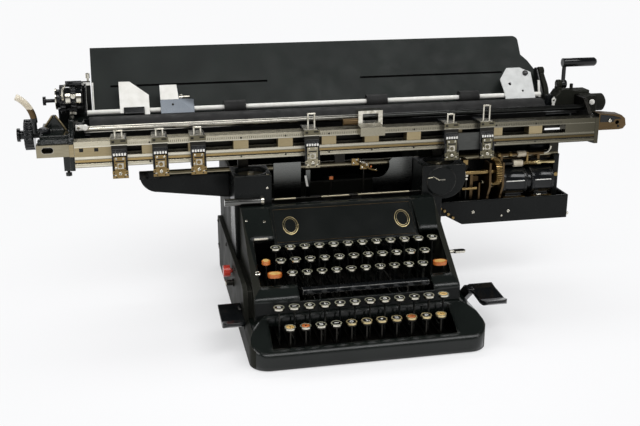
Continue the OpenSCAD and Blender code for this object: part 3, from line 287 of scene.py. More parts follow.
def brushed(name, dark, light, rough=(0.26, 0.42), along=ALONG_X):
    """Bare metal with fine lines in one direction and a patchy tarnish."""
    s = Shader(name, metallic=1.0)
    lines = s.noise(0.5, 2.0, along)
    tarnish = s.noise(30)
    s.colour(s.mix(tarnish, s.ramp(lines, [(0.3, dark), (0.7, light)]), dark))
    s.roughness(lines, *rough)
    s.relief(lines, 0.02, 0.35)
    return s.material


def plated(name, dark, light, rough=(0.1, 0.24)):
    """Worn bright plating with fine pits."""
    s = Shader(name, metallic=1.0)
    return s.surface(dark, light, rough, 6, 9, (0.8, 2.0), (0.015, 0.4), (0.32, 0.62))


def plastic(name, dark, light, rough=(0.25, 0.4)):
    """Early moulded plastic with cloudy yellowing."""
    return Shader(name, coat=0.3).surface(dark, light, rough, 9, 12, (1.0, 2.0), (0.02, 0.3))


def lit_to_shaded_metal(name, bright, dull, axis, reach):
    """Metal whose colour is painted lit at one end of its reach along an axis and shaded at the other: a
    painted highlight fading into painted shade.
    """
    s = Shader(name, metallic=1.0)
    lines = s.noise(0.5, 2.0, ALONG_X)
    place = s.add("SeparateXYZ", {0: s.coords})
    share = s.map_range(place.outputs[axis], [end * MM for end in reach], (0.0, 1.0))
    s.colour(s.mix(share, s.ramp(lines, [(0.3, tuple(0.8 * c for c in bright)), (0.7, bright)]), dull))
    s.roughness(lines, 0.22, 0.36)
    return s.material


def rubber(name, dark, light):
    """Hard platen rubber with a fine turned surface."""
    return Shader(name, specular=0.25).surface(dark, light, (0.5, 0.72), 18, 8, (0.5, 2.0), (0.03, 0.6))


MATERIALS = {
    "enamel": enamel("black_green_enamel", (0.0033, 0.0047, 0.004), (0.0066, 0.009, 0.0078), GLOSSY,
        specular=0.36, rounding_mm=7),
    "plate_enamel": enamel("plate_enamel", (0.0035, 0.0045, 0.004), (0.007, 0.0085, 0.0078), (0.1, 0.18)),
    "black_gloss": enamel("black_lacquer", (0.0025, 0.003, 0.0034), (0.006, 0.007, 0.008), GLOSSY,
        rounding_mm=2.5),
    "dull_enamel": enamel("dull_enamel", (0.0125, 0.013, 0.0105), (0.02, 0.0205, 0.0165), MATT,
        specular=0.03),
    "satin_black": enamel("satin_black", (0.003, 0.0036, 0.0035), (0.0065, 0.0075, 0.0072), (0.2, 0.34),
        specular=0.14, rounding_mm=4),
    "crinkle": crinkle("crinkle_paint", (0.0065, 0.009, 0.008), (0.0135, 0.0175, 0.0155)),
    "dark_steel": brushed("oiled_steel", (0.02, 0.019, 0.017), (0.055, 0.052, 0.045), SATIN),
    "steel": brushed("bare_steel", (0.27, 0.24, 0.165), (0.5, 0.455, 0.335)),
    "dull_steel": brushed("dull_steel", (0.12, 0.108, 0.07), (0.25, 0.23, 0.16)),
    "bright_steel": brushed("bright_steel", (0.48, 0.45, 0.38), (0.7, 0.67, 0.58), (0.2, 0.34)),
    "nickel": plated("nickel_plate", (0.46, 0.43, 0.35), (0.74, 0.71, 0.62)),
    "aluminium": brushed("sheet_aluminium", (0.13, 0.145, 0.165), (0.25, 0.275, 0.3), MATT, ALONG_Z),
    "grey_steel": brushed("grey_steel", (0.07, 0.072, 0.068), (0.14, 0.143, 0.135), MATT),
    # Painted light: the front bar is bright at its left end as a painted highlight and turns dark to the
    # right as painted shade.
    "front_bar": lit_to_shaded_metal("front_bar", (0.66, 0.63, 0.55), (0.035, 0.036, 0.034), "X", (-200, 60)),
    # Painted light: the card plate is painted lighter at the top and dark below, painted highlight and
    # shade.
    "card_plate": lit_to_shaded_metal("card_plate", (0.22, 0.225, 0.215), (0.012, 0.0125, 0.012), "Z", (196, 156)),
    # Painted light: the rail, its edges and its band are bright at the left and dark to the right, painted
    # highlight and shade for light from the left.
    "rail_steel": lit_to_shaded_metal("rail_steel", (0.66, 0.61, 0.47), (0.04, 0.037, 0.025), "X", RAIL_REACH),
    "rail_edge": lit_to_shaded_metal("rail_edge", (0.84, 0.8, 0.67), (0.13, 0.12, 0.09), "X", RAIL_REACH),
    "rail_brass": lit_to_shaded_metal("rail_brass", (0.46, 0.33, 0.145), (0.05, 0.038, 0.018), "X", RAIL_REACH),
    "gun_metal": brushed("gun_metal", (0.11, 0.11, 0.105), (0.2, 0.2, 0.19), (0.14, 0.24)),
    "grey_paint": plastic("grey_paint", (0.45, 0.46, 0.45), (0.54, 0.55, 0.54), (0.35, 0.5)),
    "tan": brushed("tan_spacer", (0.34, 0.275, 0.155), (0.56, 0.465, 0.3), MATT),
    "brass": brushed("aged_brass", (0.2, 0.135, 0.055), (0.46, 0.33, 0.145)),
    "bronze": brushed("dull_bronze", (0.09, 0.06, 0.03), (0.2, 0.135, 0.07), SATIN),
    "gold": plated("gold_line", (0.5, 0.4, 0.2), (0.7, 0.58, 0.32), (0.25, 0.4)),
    "rubber": rubber("hard_rubber", (0.006, 0.006, 0.006), (0.016, 0.016, 0.0155)),
    "cream_plastic": plastic("ivory_plastic", (0.46, 0.4, 0.29), (0.68, 0.62, 0.5)),
    "yellow_plastic": plastic("yellowed_plastic", (0.48, 0.28, 0.07), (0.7, 0.47, 0.16)),
    "orange_plastic": plastic("orange_plastic", (0.38, 0.085, 0.014), (0.55, 0.17, 0.03)),
    "red_plastic": plastic("red_plastic", (0.4, 0.022, 0.012), (0.58, 0.045, 0.025)),
    "key_black": plastic("key_black", (0.004, 0.004, 0.0045), (0.011, 0.011, 0.012), (0.1, 0.2)),
    "key_ring": plastic("key_ring", (0.19, 0.188, 0.125), (0.32, 0.315, 0.225), (0.25, 0.4)),
    "warm_ring": plastic("warm_ring", (0.27, 0.215, 0.1), (0.42, 0.345, 0.175), (0.25, 0.4)),
    # Near-black, nearly unreflecting paint for the paper table's groove: painted shade in the recess.
    "groove_painted_shade": enamel("groove_painted_shade", (0.001, 0.001, 0.001), (0.002, 0.002, 0.002), (0.6, 0.8), 0.0,
        specular=0.02),
    # Lighter, glossier enamel for bevelled edges: a painted highlight along them, together with bare-metal
    # wear.
    "edge_highlight_enamel": enamel("edge_highlight_enamel", (0.03, 0.031, 0.029), (0.1, 0.1, 0.094), (0.1, 0.2), 0.8,
        specular=0.9),
    "white_paint": plastic("white_paint", (0.69, 0.68, 0.63), (0.78, 0.77, 0.73), (0.35, 0.55)),
}

EDGE_WIDTH = {"enamel": 1.6, "black_gloss": 1.0, "dull_enamel": 1.0, "satin_black": 1.0,
              "plate_enamel": 0.7, "crinkle": 0.5, "steel": 0.4, "rail_steel": 0.4, "dark_steel": 0.35,
              "aluminium": 0.3, "white_paint": 0.3, "cream_plastic": 0.3, "bronze": 0.25, "brass": 0.25,
              "nickel": 0.25}
WIDE_EDGES = {"base_pan": 3.0, "keyboard_deck": 2.2, "spool_housing_left": 1.6, "spool_housing_right": 1.6}
OWN_FINISH = {"paper_table": "crinkle", "guide_left": "white_paint", "guide_right": "grey_paint",
              "card_holders": "card_plate", "gear_bracket": "bronze", "paper_bail": "white_paint",
              "rail_spacers": "tan", "register_rail": "rail_steel", "support_arm_left": "satin_black",
              "motor_tray": "satin_black", "spool_housing_left": "satin_black",
              "spool_housing_right": "satin_black", "side_panel_left": "dull_enamel",
              "rear_frame": "dull_enamel", "feed_housing": "dull_enamel"}
EDGES_HIGHLIT_AND_WORN = ("base_pan", "keyboard_deck", "space_bar")
WELD_GAP = 0.01
SHARP_NODE_ANGLE = 40
ROD_SHADE_Z = 191.2
FRONT_BAR_Z = 243
SIDE_WALL = 6
NOSE_DEPTH = 1
NOSE_TOP = 62


def box_of(name):
    """Lowest and highest corner of a CAD node, in millimetres."""
    low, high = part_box(name)
    return low / MM, high / MM


def soften(node, width):
    """Rounds the sharp edges of a CAD node so that they catch the light."""
    weld = node.modifiers.new("weld", "WELD")
    weld.merge_threshold = WELD_GAP * MM
    bevel = node.modifiers.new("round_edges", "BEVEL")
    bevel.width = width * MM
    bevel.segments = 2
    bevel.limit_method = "ANGLE"
    bevel.angle_limit = radians(SHARP_NODE_ANGLE)
    bevel.harden_normals = True
    return bevel


def dress_nodes():
    """Gives every CAD node the finish of its record slot, or its own, and softens its edges."""
    slots = {s["node"]: s["material_slot"] for s in frame["record"]["subparts"]}
    for name, node in nodes.items():
        slot = OWN_FINISH.get(name, slots[name])
        node.data.materials.clear()
        node.data.materials.append(MATERIALS[slot])
        if slot in EDGE_WIDTH and not name.startswith("key_row"):
            bevel = soften(node, WIDE_EDGES.get(name, EDGE_WIDTH[slot]))
            # Bevel faces of these nodes take the edge enamel: painted highlight and wear along the edges.
            if name in EDGES_HIGHLIT_AND_WORN:
                node.data.materials.append(MATERIALS["edge_highlight_enamel"])
                bevel.material = len(node.data.materials) - 1
    repaint("way_rods", "dark_steel", lambda x, y, z: z > ROD_SHADE_Z)
    repaint("carriage_beam", "front_bar", lambda x, y, z: z > FRONT_BAR_Z)
    for name in ("base_pan", "keyboard_deck"):
        low, high = box_of(name)
        repaint(name, "dull_enamel", lambda x, y, z: x < low.x + SIDE_WALL or x > high.x - SIDE_WALL)
    nose = box_of("keyboard_deck")[0].y + NOSE_DEPTH
    repaint("keyboard_deck", "satin_black", lambda x, y, z: y < nose and z < NOSE_TOP)


def repaint(name, slot, where):
    """Gives another finish to the faces of a CAD node whose middle passes the test."""
    mesh = nodes[name].data
    mesh.materials.append(MATERIALS[slot])
    for face in mesh.polygons:
        if where(*(face.center / MM)):
            face.material_index = len(mesh.materials) - 1


# Small fittings

FRONT = (0, -1, 0)
BACK = (0, 1, 0)
UP = (0, 0, 1)
LEFT = (-1, 0, 0)
RIGHT = (1, 0, 0)
COIL_STEPS = 10
SCREW_HEIGHT = 0.45
SCREW_DOME = ((0, 1), (0.5, 1), (0.85, 0.8), (1, 0.45))
SHARP_PIECE_ANGLE = 35
ORIGIN = (0, 0, 0)
UNMOVED = Matrix.Identity(4)
# Frame for outlines seen from the side: X runs to the machine's back, Y up and Z to its right
SIDE_ON = Matrix(((0, 0, 1, 0), (1, 0, 0, 0), (0, 1, 0, 0), (0, 0, 0, 1)))


def leaning(y, z, degrees):
    """Frame on a leaning plate: X stays, Y runs up the plate and Z stands off its face."""
    return Matrix.Translation((0, y, z)) @ Matrix.Rotation(radians(degrees), 4, "X")


def upright(y):
    """Frame on an upright plate: X stays, Y runs up and Z stands off to the front."""
    return leaning(y, 0, 90)


def full_turn(steps):
    """Angles that share out one turn."""
    return [2 * pi * i / steps for i in range(steps)]


def arc(middle, half_x, half_y, angles):
    """Points of an oval or a circle at these angles."""
    return [(middle[0] + half_x * cos(a), middle[1] + half_y * sin(a)) for a in angles]


def spokes(axis):
    """Function that turns an angle into a direction across a unit axis."""
    across = axis.orthogonal().normalized()
    up = axis.cross(across)
    return lambda a: across * cos(a) + up * sin(a)


# Pieces that are drawn and not yet finished
PIECES = []


class Piece:
    """Bevelled boxes, turned pieces, sheets and wires gathered into one mesh, in millimetres."""

    def __init__(self, name, rides_with, slot=None, place=UNMOVED):
        self.name = name
        self.body = nodes[rides_with]["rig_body"]
        self.place = place
        self.bm = bmesh.new()
        self.slots = [slot] if slot else []
        self.slot = 0
        PIECES.append(self)

    def use(self, slot):
        """Sets the finish of the shapes that follow."""
        if slot not in self.slots:
            self.slots.append(slot)
        self.slot = self.slots.index(slot)
        return self

    def add(self, points, faces):
        made = [self.bm.verts.new(self.place @ Vector(p)) for p in points]
        for corners in faces:
            face = self.bm.faces.new([made[i] for i in corners])
            face.material_index = self.slot
            face.smooth = True

    def tube(self, points, sides, closed=False):
        """Skin over rings of points in a row; its ends are capped, or joined if it is closed."""
        count = len(points) // sides
        faces = [] if closed else [list(range(sides)), list(range(len(points) - sides, len(points)))]
        for ring in range(count if closed else count - 1):
            here, there = ring * sides, (ring + 1) % count * sides
            for i in range(sides):
                j = (i + 1) % sides
                faces.append([here + i, here + j, there + j, there + i])
        self.add(points, faces)

    def box(self, x, y, z, bevel=0.4):
        """Box over three ranges with chamfered edges: every corner has a point on each of its sides."""
        spans = (x, y, z)
        points = [[spans[k][end] + (k != flat) * bevel * (1 - 2 * end) for k, end in enumerate(corner)]
                  for corner in product((0, 1), repeat=3) for flat in range(3)]
        faces = [[3 * i, 3 * i + 1, 3 * i + 2] for i in range(8)]
        for flat in range(3):
            u, v = [k for k in range(3) if k != flat]

            def at(side, a, b, kind):
                corner = [a, b]
                corner.insert(flat, side)
                return 3 * (4 * corner[0] + 2 * corner[1] + corner[2]) + kind

            for side in (0, 1):
                faces.append([at(side, a, b, flat) for a, b in ((0, 0), (1, 0), (1, 1), (0, 1))])
            for a, b in product((0, 1), repeat=2):
                faces.append([at(0, a, b, u), at(0, a, b, v), at(1, a, b, v), at(1, a, b, u)])
        self.add(points, faces)

    def turn(self, start, axis, profile, sides=24, hollow=False):
        """Turned piece: the profile lists distances along the axis with radii, and closes up if hollow."""
        axis = Vector(axis).normalized()
        spoke = spokes(axis)
        self.tube([Vector(start) + axis * distance + spoke(a) * radius
                   for distance, radius in profile for a in full_turn(sides)], sides, hollow)

    def rod(self, start, end, radius, bevel=0.3, sides=24):
        axis = Vector(end) - Vector(start)
        self.turn(start, axis, [(0, radius - bevel), (bevel, radius), (axis.length - bevel, radius),
                                (axis.length, radius - bevel)], sides)

    def wire(self, path, radius, sides=8, closed=False):
        """Round wire along a path."""
        path = [Vector(p) for p in path]
        count = len(path)
        normal = None
        points = []
        for i, point in enumerate(path):
            before = path[i - 1] if i or closed else point
            after = path[(i + 1) % count] if i < count - 1 or closed else point
            along = (after - before).normalized()
            normal = along.orthogonal() if normal is None else normal - along * normal.dot(along)
            normal.normalize()
            side = along.cross(normal)
            points += [point + (normal * cos(a) + side * sin(a)) * radius
                       for a in full_turn(sides)]
        self.tube(points, sides, closed)

    def spring(self, start, end, radius, wire, coils):
        """Helical spring between two points."""
        start, end = Vector(start), Vector(end)
        spoke = spokes((end - start).normalized())
        steps = coils * COIL_STEPS
        self.wire([start.lerp(end, i / steps) + spoke(2 * pi * i / COIL_STEPS) * radius
                   for i in range(steps + 1)], wire, 5)

    def shell(self, x, middle, radius, degrees, thick, steps=8):
        """Curved plate round an axis along X, between two angles that start at the back and rise."""
        points = []
        for i in range(steps + 1):
            a = radians(degrees[0] + (degrees[1] - degrees[0]) * i / steps)
            for r, end in ((radius, x[0]), (radius, x[1]), (radius - thick, x[1]), (radius - thick, x[0])):
                points.append((end, middle[0] + r * cos(a), middle[1] + r * sin(a)))
        self.tube(points, 4)

    def sheet(self, outline, z):
        """Flat sheet with this outline between two heights."""
        self.tube([(x, y, height) for height in z for x, y in outline], len(outline))

    def screw(self, seat, axis, radius, head="nickel", turn=0.6):
        """Slotted screw with a domed head that stands on its seat."""
        axis = Vector(axis).normalized()
        height = radius * SCREW_HEIGHT
        self.use(head)
        self.turn(seat, axis, [(height * up, radius * out) for up, out in SCREW_DOME], 16)
        slot = spokes(axis)(turn) * radius * 0.85
        top = Vector(seat) + axis * height * 0.9
        self.use("rubber")
        self.wire([top - slot, top + slot], radius * 0.14, 6)

    def finish(self):
        """Makes the object and lets it ride on its body."""
        PIECES.remove(self)
        bmesh.ops.recalc_face_normals(self.bm, faces=self.bm.faces)
        mesh = bpy.data.meshes.new(self.name)
        self.bm.to_mesh(mesh)
        self.bm.free()
        mesh.transform(Matrix.Scale(MM, 4))
        mesh.set_sharp_from_angle(angle=radians(SHARP_PIECE_ANGLE))
        for slot in self.slots:
            mesh.materials.append(MATERIALS[slot])
        made = bpy.data.objects.new(self.name, mesh)
        scene.collection.objects.link(made)
        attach(made, self.body)
        return made


def add_box(name, rides_with, slot, x, y, z, bevel, place=UNMOVED):
    """A piece that is a single box."""
    Piece(name, rides_with, slot, place).box(x, y, z, bevel)


# Keyboard

KEY_COUNTS = (12, 11, 10, 12, 11)
TOP_ROW = 5
WARM_FROM = 4
KEY_PITCH = 19.0
KEY_RADIUS = 6.8
KEY_RIM = 1.6
KEY_DISH = 0.8
KEY_CAP = 4.2
KEY_HOOP = [(-2.5, 6.82), (-2.3, 6.98), (-0.35, 6.98), (-0.35, 6.6), (-2.5, 6.6)]
KEY_RING = [(-0.34, 6.97), (0.14, 6.5), (0.14, 5.8), (-0.3, 5.25), (-0.5, 5.6)]
KEY_WELL = KEY_RADIUS - KEY_RIM - 0.05
KEY_GLASS = [(0, KEY_WELL), (0.35, KEY_WELL), (0.62, KEY_WELL * 0.8), (0.75, KEY_WELL * 0.45), (0.78, 0.1)]
KEY_MARK = (-0.3, 0.12)
KEY_BRIGHT = 0.4
PAD_INSET = (1.6, 1.8)
KEY_TINTS = {(4, 11): "yellow_plastic", (5, 0): "yellow_plastic", (5, 1): "orange_plastic",
             (5, 8): "orange_plastic", (5, 10): "yellow_plastic"}


def key_mark(piece, kind):
    """A plain mark on a key: a bar, a dot, a ring, two bars, or a bar with a dot."""
    low, high = KEY_MARK
    if kind == 0:
        piece.box((-2.6, 2.6), (-0.65, 0.65), KEY_MARK, 0.1)
    elif kind == 1:
        piece.turn((0, 0, low), UP, [(0, 1.5), (0.36, 1.5), (high - low, 1.2)], 16)
    elif kind == 2:
        middle, spoke = Vector((0, 0, -0.05)), spokes(Vector(UP))
        piece.wire([middle + spoke(a) * 1.9 for a in full_turn(18)], 0.45, closed=True)
    elif kind == 3:
        for y in (-1.5, 1.5):
            piece.box((-2.2, 2.2), (y - 0.55, y + 0.55), KEY_MARK, 0.1)
    else:
        piece.box((-0.65, 0.65), (-2.4, 2.4), KEY_MARK, 0.1)
        piece.turn((2.4, -1.6, low), UP, [(0, 0.8), (0.36, 0.8), (high - low, 0.6)], 12)


def dress_keys():
    """Dark domed glass in each nickel ring, with a plain mark; the levers below are blackened."""
    for row, count in enumerate(KEY_COUNTS, 1):
        name = f"key_row_{row}"
        low, high = box_of(name)
        levers = "dark_steel" if row == TOP_ROW else "satin_black"
        repaint(name, levers, lambda x, y, z: z < high.z - KEY_BRIGHT)
        tops = Piece(name + "_tops", name)
        for i in range(count):
            x = low.x + KEY_RADIUS + i * KEY_PITCH
            tops.place = Matrix.Translation((x, low.y + KEY_RADIUS, high.z))
            tint = KEY_TINTS.get((row, i), "key_black")
            warm = row == TOP_ROW and i >= WARM_FROM
            tops.use(tint).turn((0, 0, 0.02 - KEY_DISH), UP, KEY_GLASS)
            tops.use("gold" if warm else "nickel").turn(ORIGIN, UP, KEY_HOOP, 20, hollow=True)
            tops.use("warm_ring" if warm else "key_ring").turn(ORIGIN, UP, KEY_RING, 20, hollow=True)
            tops.use("white_paint" if tint == "key_black" else "key_black")
            key_mark(tops, (i * 2 + row - 1) % 5)
    for name in ("shift_key_left", "shift_key_right", "tab_key"):
        low, high = box_of(name)
        repaint(name, "dark_steel", lambda x, y, z: z < high.z - KEY_CAP - 0.1)
        half_x, half_y = (high.x - low.x) / 2 - PAD_INSET[0], KEY_RADIUS - PAD_INSET[1]
        middle = (low.x + high.x) / 2, low.y + KEY_RADIUS
        pad = Piece(name + "_pad", name, "yellow_plastic")
        pad.sheet(arc(middle, half_x, half_y, full_turn(32)), (high.z - 0.3, high.z + 0.35))


# Case and type basket

FRONT_PLATE_FOOT = (-63.2, 113.5)
FRONT_PLATE_LEAN = 42.4
OVALS_AT = ((-78.5, 27), (73.5, 27))
OVAL_LINES = ((10, 13, 0.5), (7.6, 10.6, 0.25))
LOUVRES = (20, 110)
LOUVRE_HEIGHTS = (61, 131)
CHEEK_FOOT = (-134, 74)
CHEEK_RUN, CHEEK_RISE = 112, 78
CHEEK_FACE = (0, -0.57, 0.82)
SIDE_ROD = (-20, 48)
DRUM_Y = -8.5
GUARD_ROD = (-3, 156)


def cheek_height(y):
    """Height of the sloping keyboard deck at a depth y."""
    return CHEEK_FOOT[1] + (y - CHEEK_FOOT[0]) * CHEEK_RISE / CHEEK_RUN


def dress_case():
    """Lines on the bare front plate, screws of the panels and small fittings of the case."""
    trim = Piece("front_plate_lines", "front_plate", "gold", leaning(*FRONT_PLATE_FOOT, FRONT_PLATE_LEAN))
    for middle in OVALS_AT:
        for half_x, half_y, line in OVAL_LINES:
            oval = arc(middle, half_x, half_y, full_turn(48))
            trim.wire([(x, y, 0) for x, y in oval], line, 6, closed=True)
    # The bronze border's top line is a painted highlight of the plate's top edge; the rest of the border is
    # a drawn pinstripe.
    trim.use("bronze").wire([(-99, 3, 0), (88, 3, 0), (88, 52, 0), (-99, 52, 0)], 0.35, 6, closed=True)

    screws = Piece("case_screws", "base_pan")
    left = box_of("side_panel_left")[0].x
    for y, z in ((-40, 74), (60, 74), (168, 74), (168, 36), (40, 36)):
        screws.screw((left, y, z), LEFT, 3.0, "dark_steel")
    back = box_of("rear_cover")[1].y
    for x in (-136, 130):
        for z in (70, 168):
            screws.screw((x, back, z), BACK, 3.0, "dark_steel", 0.2)

    rod = Piece("side_rod_end", "side_panel_left", "dark_steel")
    rod.turn((left, *SIDE_ROD), LEFT, [(0, 5.5), (2, 5.5), (2.3, 4), (9.5, 4), (10, 3.6)])
    rod.use("bright_steel").turn((left - 10, *SIDE_ROD), LEFT, [(0, 3.4), (0.8, 3.2), (1.2, 2.2)])

    add_box("louvre_screen", "rear_cover", "crinkle", (LOUVRES[0] - 3, LOUVRES[1] + 3),
            (back - 5.1, back - 3.8), LOUVRE_HEIGHTS, 0.2)
    add_box("way_rod_block", "rear_frame", "dull_enamel", (126, 152), (56, 60), (184, 199), 0.6)

    repaint("spool_housing_left", "gun_metal", lambda x, y, z: y < DRUM_Y)
    repaint("spool_housing_left", "nickel", lambda x, y, z: x > -113.4 and y < DRUM_Y)

    studs = Piece("deck_studs", "keyboard_deck", "bright_steel")
    # The bright bar along the cheek's edge is a painted highlight of that edge.
    studs.box((-130, -111), (-64.3, -62.8), (121.4, 124), 0.5)
    for x, y, radius in ((-136, -38.5, 1.8), (-112.5, -41.5, 1.6), (-131.5, -107, 3.6)):
        studs.screw((x, y, cheek_height(y)), CHEEK_FACE, radius)
    fittings = Piece("tower_screws", "spool_housing_left")
    fittings.screw((-102, -4.5, box_of("spool_housing_left")[1].z), UP, 1.8)
    fittings.screw((-103, box_of("keyboard_deck")[1].y + 0.3, 174), FRONT, 1.7)


def dress_basket():
    """Guard rod between the towers, the type guide's marks and the ribbon carrier."""
    rail = Piece("type_guard_rod", "type_segment", "dark_steel")
    low, high = box_of("type_segment")
    rail.rod((low.x, *GUARD_ROD), (high.x, *GUARD_ROD), 1.2)
    rail.use("steel")
    for x0, x1 in ((-93, -64), (-29, 10), (22, 95)):
        rail.rod((x0, *GUARD_ROD), (x1, *GUARD_ROD), 1.6)
    marks = Piece("type_guide_marks", "type_segment", "dark_steel")
    marks.rod((-6.6, 37.2, 143), (-6.6, 37.2, 169), 1.1)
    marks.use("orange_plastic").box((-9.4, -3.8), (34.6, 36.4), (168, 172.4))
    marks.use("white_paint")
    marks.place = upright(36.9)
    marks.sheet([(-44.2, 175.5), (-41.4, 175.5), (-38.6, 160), (-41.6, 160)], (0, 0.8))
    carrier = Piece("ribbon_carrier", "type_segment", "dark_steel")
    carrier.rod((40, 36.6, 143), (40, 36.6, 194), 1.2)
    carrier.use("brass").box((22, 33), (33.6, 35.4), (187, 197), 0.3)
    carrier.box((34, 47), (32.8, 35.6), (181, 190))
    carrier.wire([(30, 34, 193), (40, 33, 186), (48, 32.6, 181), (58, 33, 178)], 1.5)
    carrier.use("nickel").wire([(38, 32, 195.5), (58, 31, 195.2), (78, 32, 195.4)], 0.9)
    carrier.spring((33, 32, 192), (45, 31.6, 189), 1.8, 0.45, 7)
    for x, z in ((25, 190), (29, 195), (37, 183.5), (44, 187), (56.5, 178.6)):
        carrier.screw((x, 32.7 if x > 33 else 33.5, z), FRONT, 1.6, "nickel", x)
    carrier.use("orange_plastic").box((48.5, 51), (32.5, 34), (183, 185.5), 0.3)


# Carriage

SCALE_PITCH = 2.54
RAIL_HOLE_Z = (228.6, 233.4)
RAIL_WINDOW_Z = (222.2, 234.2)
RAIL_LINES = ((213.6, 214.5), (218.0, 218.5))
RAIL_EDGES = ((219.2, 221.9), (234.4, 235.6), (209, 210.2))
RAIL_BAND = (214.7, 217.8)
RAIL_SCREWS = (237.4, 211.8)
RAIL_SCREW_PITCH = 60


def dress_rail():
    """Scale, edges, band and screws of the register rail, and its left plate with two dark patches painted
    as the shade of holes.
    """
    low, high = box_of("register_rail")
    length = low.x + 0.5, high.x - 0.5
    scale = Piece("rail_scale", "register_rail")

    def strip(x, z, proud=0.05, bevel=0.02):
        scale.box(x, (low.y - proud, low.y + 0.2), z, bevel)

    scale.use("rubber")
    x = low.x + 60
    while x < high.x - 50:
        strip((x - 0.28, x + 0.28), (high.z - 5.6, high.z - 2.6))
        x += SCALE_PITCH
    scale.use("tan")
    strip((low.x + 0.5, low.x + 52), RAIL_WINDOW_Z, 0.04)
    scale.use("rubber")
    # Dark patches where the plate's two holes are: painted shade of the holes.
    for x in (low.x + 9, low.x + 28):
        strip((x - 2.6, x + 2.6), RAIL_HOLE_Z, 0.06)
    for z in RAIL_LINES:
        strip(length, z)
    scale.use("rail_edge")
    for z in RAIL_EDGES:
        strip(length, z, 0.12, 0.05)
    scale.use("rail_brass")
    strip(length, RAIL_BAND, 0.08, 0.04)
    scale.use("dark_steel")
    for i in range(10):
        x = low.x + 96 + i * RAIL_SCREW_PITCH
        for z in RAIL_SCREWS:
            scale.turn((x, low.y - 0.1, z), BACK, [(0, 1.0), (0.08, 1.3), (0.3, 1.3)], 12)


PLATE_Y = 5.5
CHEEK_Y = 4.0
UNIT_HALF = 11
NUMBER_PITCH = 3.5
CASING_Z = (216.5, 247)
PAIR_MIDDLE = 10
MARGIN_HEAD_Z = 243
UNITS = {"totaliser_1": "brass", "totaliser_2": "brass", "totaliser_3": "brass", "totaliser_4": "steel"}


def dress_unit(piece, x, plate):
    """Number marks, top plate and the screwed mechanism plates of one totaliser whose middle is at x."""
    piece.place = Matrix.Translation((x, 0, 0))
    piece.use("white_paint")
    for i in range(5):
        wx = (i - 2) * NUMBER_PITCH
        piece.box((wx - 1.2, wx + 1.2), (4.8, 5.3), (225, 228.2), 0.1)
    piece.use("dark_steel").box((-9.6, 9.6), (7.2, 8.05), (232.5, 238.2), 0.3)
    piece.box((-9.2, -5.4), (6.85, 7.5), (241.6, 244.6), 0.2)
    piece.box((2.2, 8.8), (6.85, 7.5), (242.8, 245), 0.2)
    piece.use("dull_steel").box((-10.6, 10.6), (7.05, 8.05), (239.4, 246.2), 0.25)
    piece.use("rail_edge").box((-11, 11), (6.8, 8.05), (238.2, 239.6), 0.2)
    piece.use("gun_metal").box((-8.6, 8.6), (7.0, 7.4), (232.9, 233.5), 0.1)
    piece.use("bright_steel").box((-10.6, 7.5), (8.5, 26), (246.05, 247.2), 0.2)
    piece.box((-3.4, 4.6), (PLATE_Y - 1.5, PLATE_Y - 0.9), (207.6, 215.4), 0.2)
    piece.use(plate).box((-7.4, 7.4), (PLATE_Y - 1, PLATE_Y + 0.05), (205, 223.4), 0.25)
    piece.box((-5.4, 5.4), (CHEEK_Y - 0.5, PLATE_Y + 0.05), (196, 206), 0.25)
    piece.box((-10.2, 10.2), (CHEEK_Y - 0.7, CHEEK_Y + 0.1), (195.2, 198.8), 0.3)
    for ends in ((-10.2, -5), (5, 10.2)):
        piece.box(ends, (CHEEK_Y - 0.6, CHEEK_Y + 0.1), (200.4, 205.4), 0.3)
    piece.turn((0, CHEEK_Y - 0.4, 202), FRONT, [(0, 4), (0.7, 4), (1, 3.4)], 20)
    piece.turn((0, PLATE_Y - 1.4, 211.4), FRONT, [(0, 2.6), (0.8, 2.6), (1.1, 2)], 16)
    for dx, y, z, radius in ((0, CHEEK_Y - 1.4, 202, 2.2), (-5.4, PLATE_Y - 1, 209, 1.5),
                             (-4.6, PLATE_Y - 1, 221, 1.4), (4.6, PLATE_Y - 1, 221, 1.4)):
        piece.screw((dx, y, z), FRONT, radius, "nickel", 0.5 + dx)
    piece.use("rubber").box((-5.6, 5.6), (PLATE_Y - 1.05, PLATE_Y - 0.8), (216.8, 218.6), 0.05)
    # Dark discs where the plates' holes are: painted shade of the holes.
    plate_hole, cheek_hole, foot_hole = PLATE_Y - 1.07, CHEEK_Y - 0.67, CHEEK_Y - 0.77
    for dx, y, z in ((-5.6, plate_hole, 213.6), (6.1, plate_hole, 208.4), (-8, cheek_hole, 202.8),
                     (8, cheek_hole, 202.8), (-5.2, foot_hole, 197), (5.2, foot_hole, 197)):
        piece.turn((dx, y, z), BACK, [(0, 0.95), (0.3, 0.95)], 10)


def paint_unit(name, middle):
    """Black casing, plated top and bright screw ends on one totaliser of a CAD node."""
    repaint(name, "black_gloss",
            lambda x, y, z: abs(x - middle) < UNIT_HALF and (CASING_Z[0] < z < CASING_Z[1] or y < 9.1))
    repaint(name, "nickel", lambda x, y, z: abs(x - middle) < UNIT_HALF and z > 246.4)
    repaint(name, "nickel", lambda x, y, z: abs(x - middle) < 7.9 and z < 202 and y < PLATE_Y - 0.05)


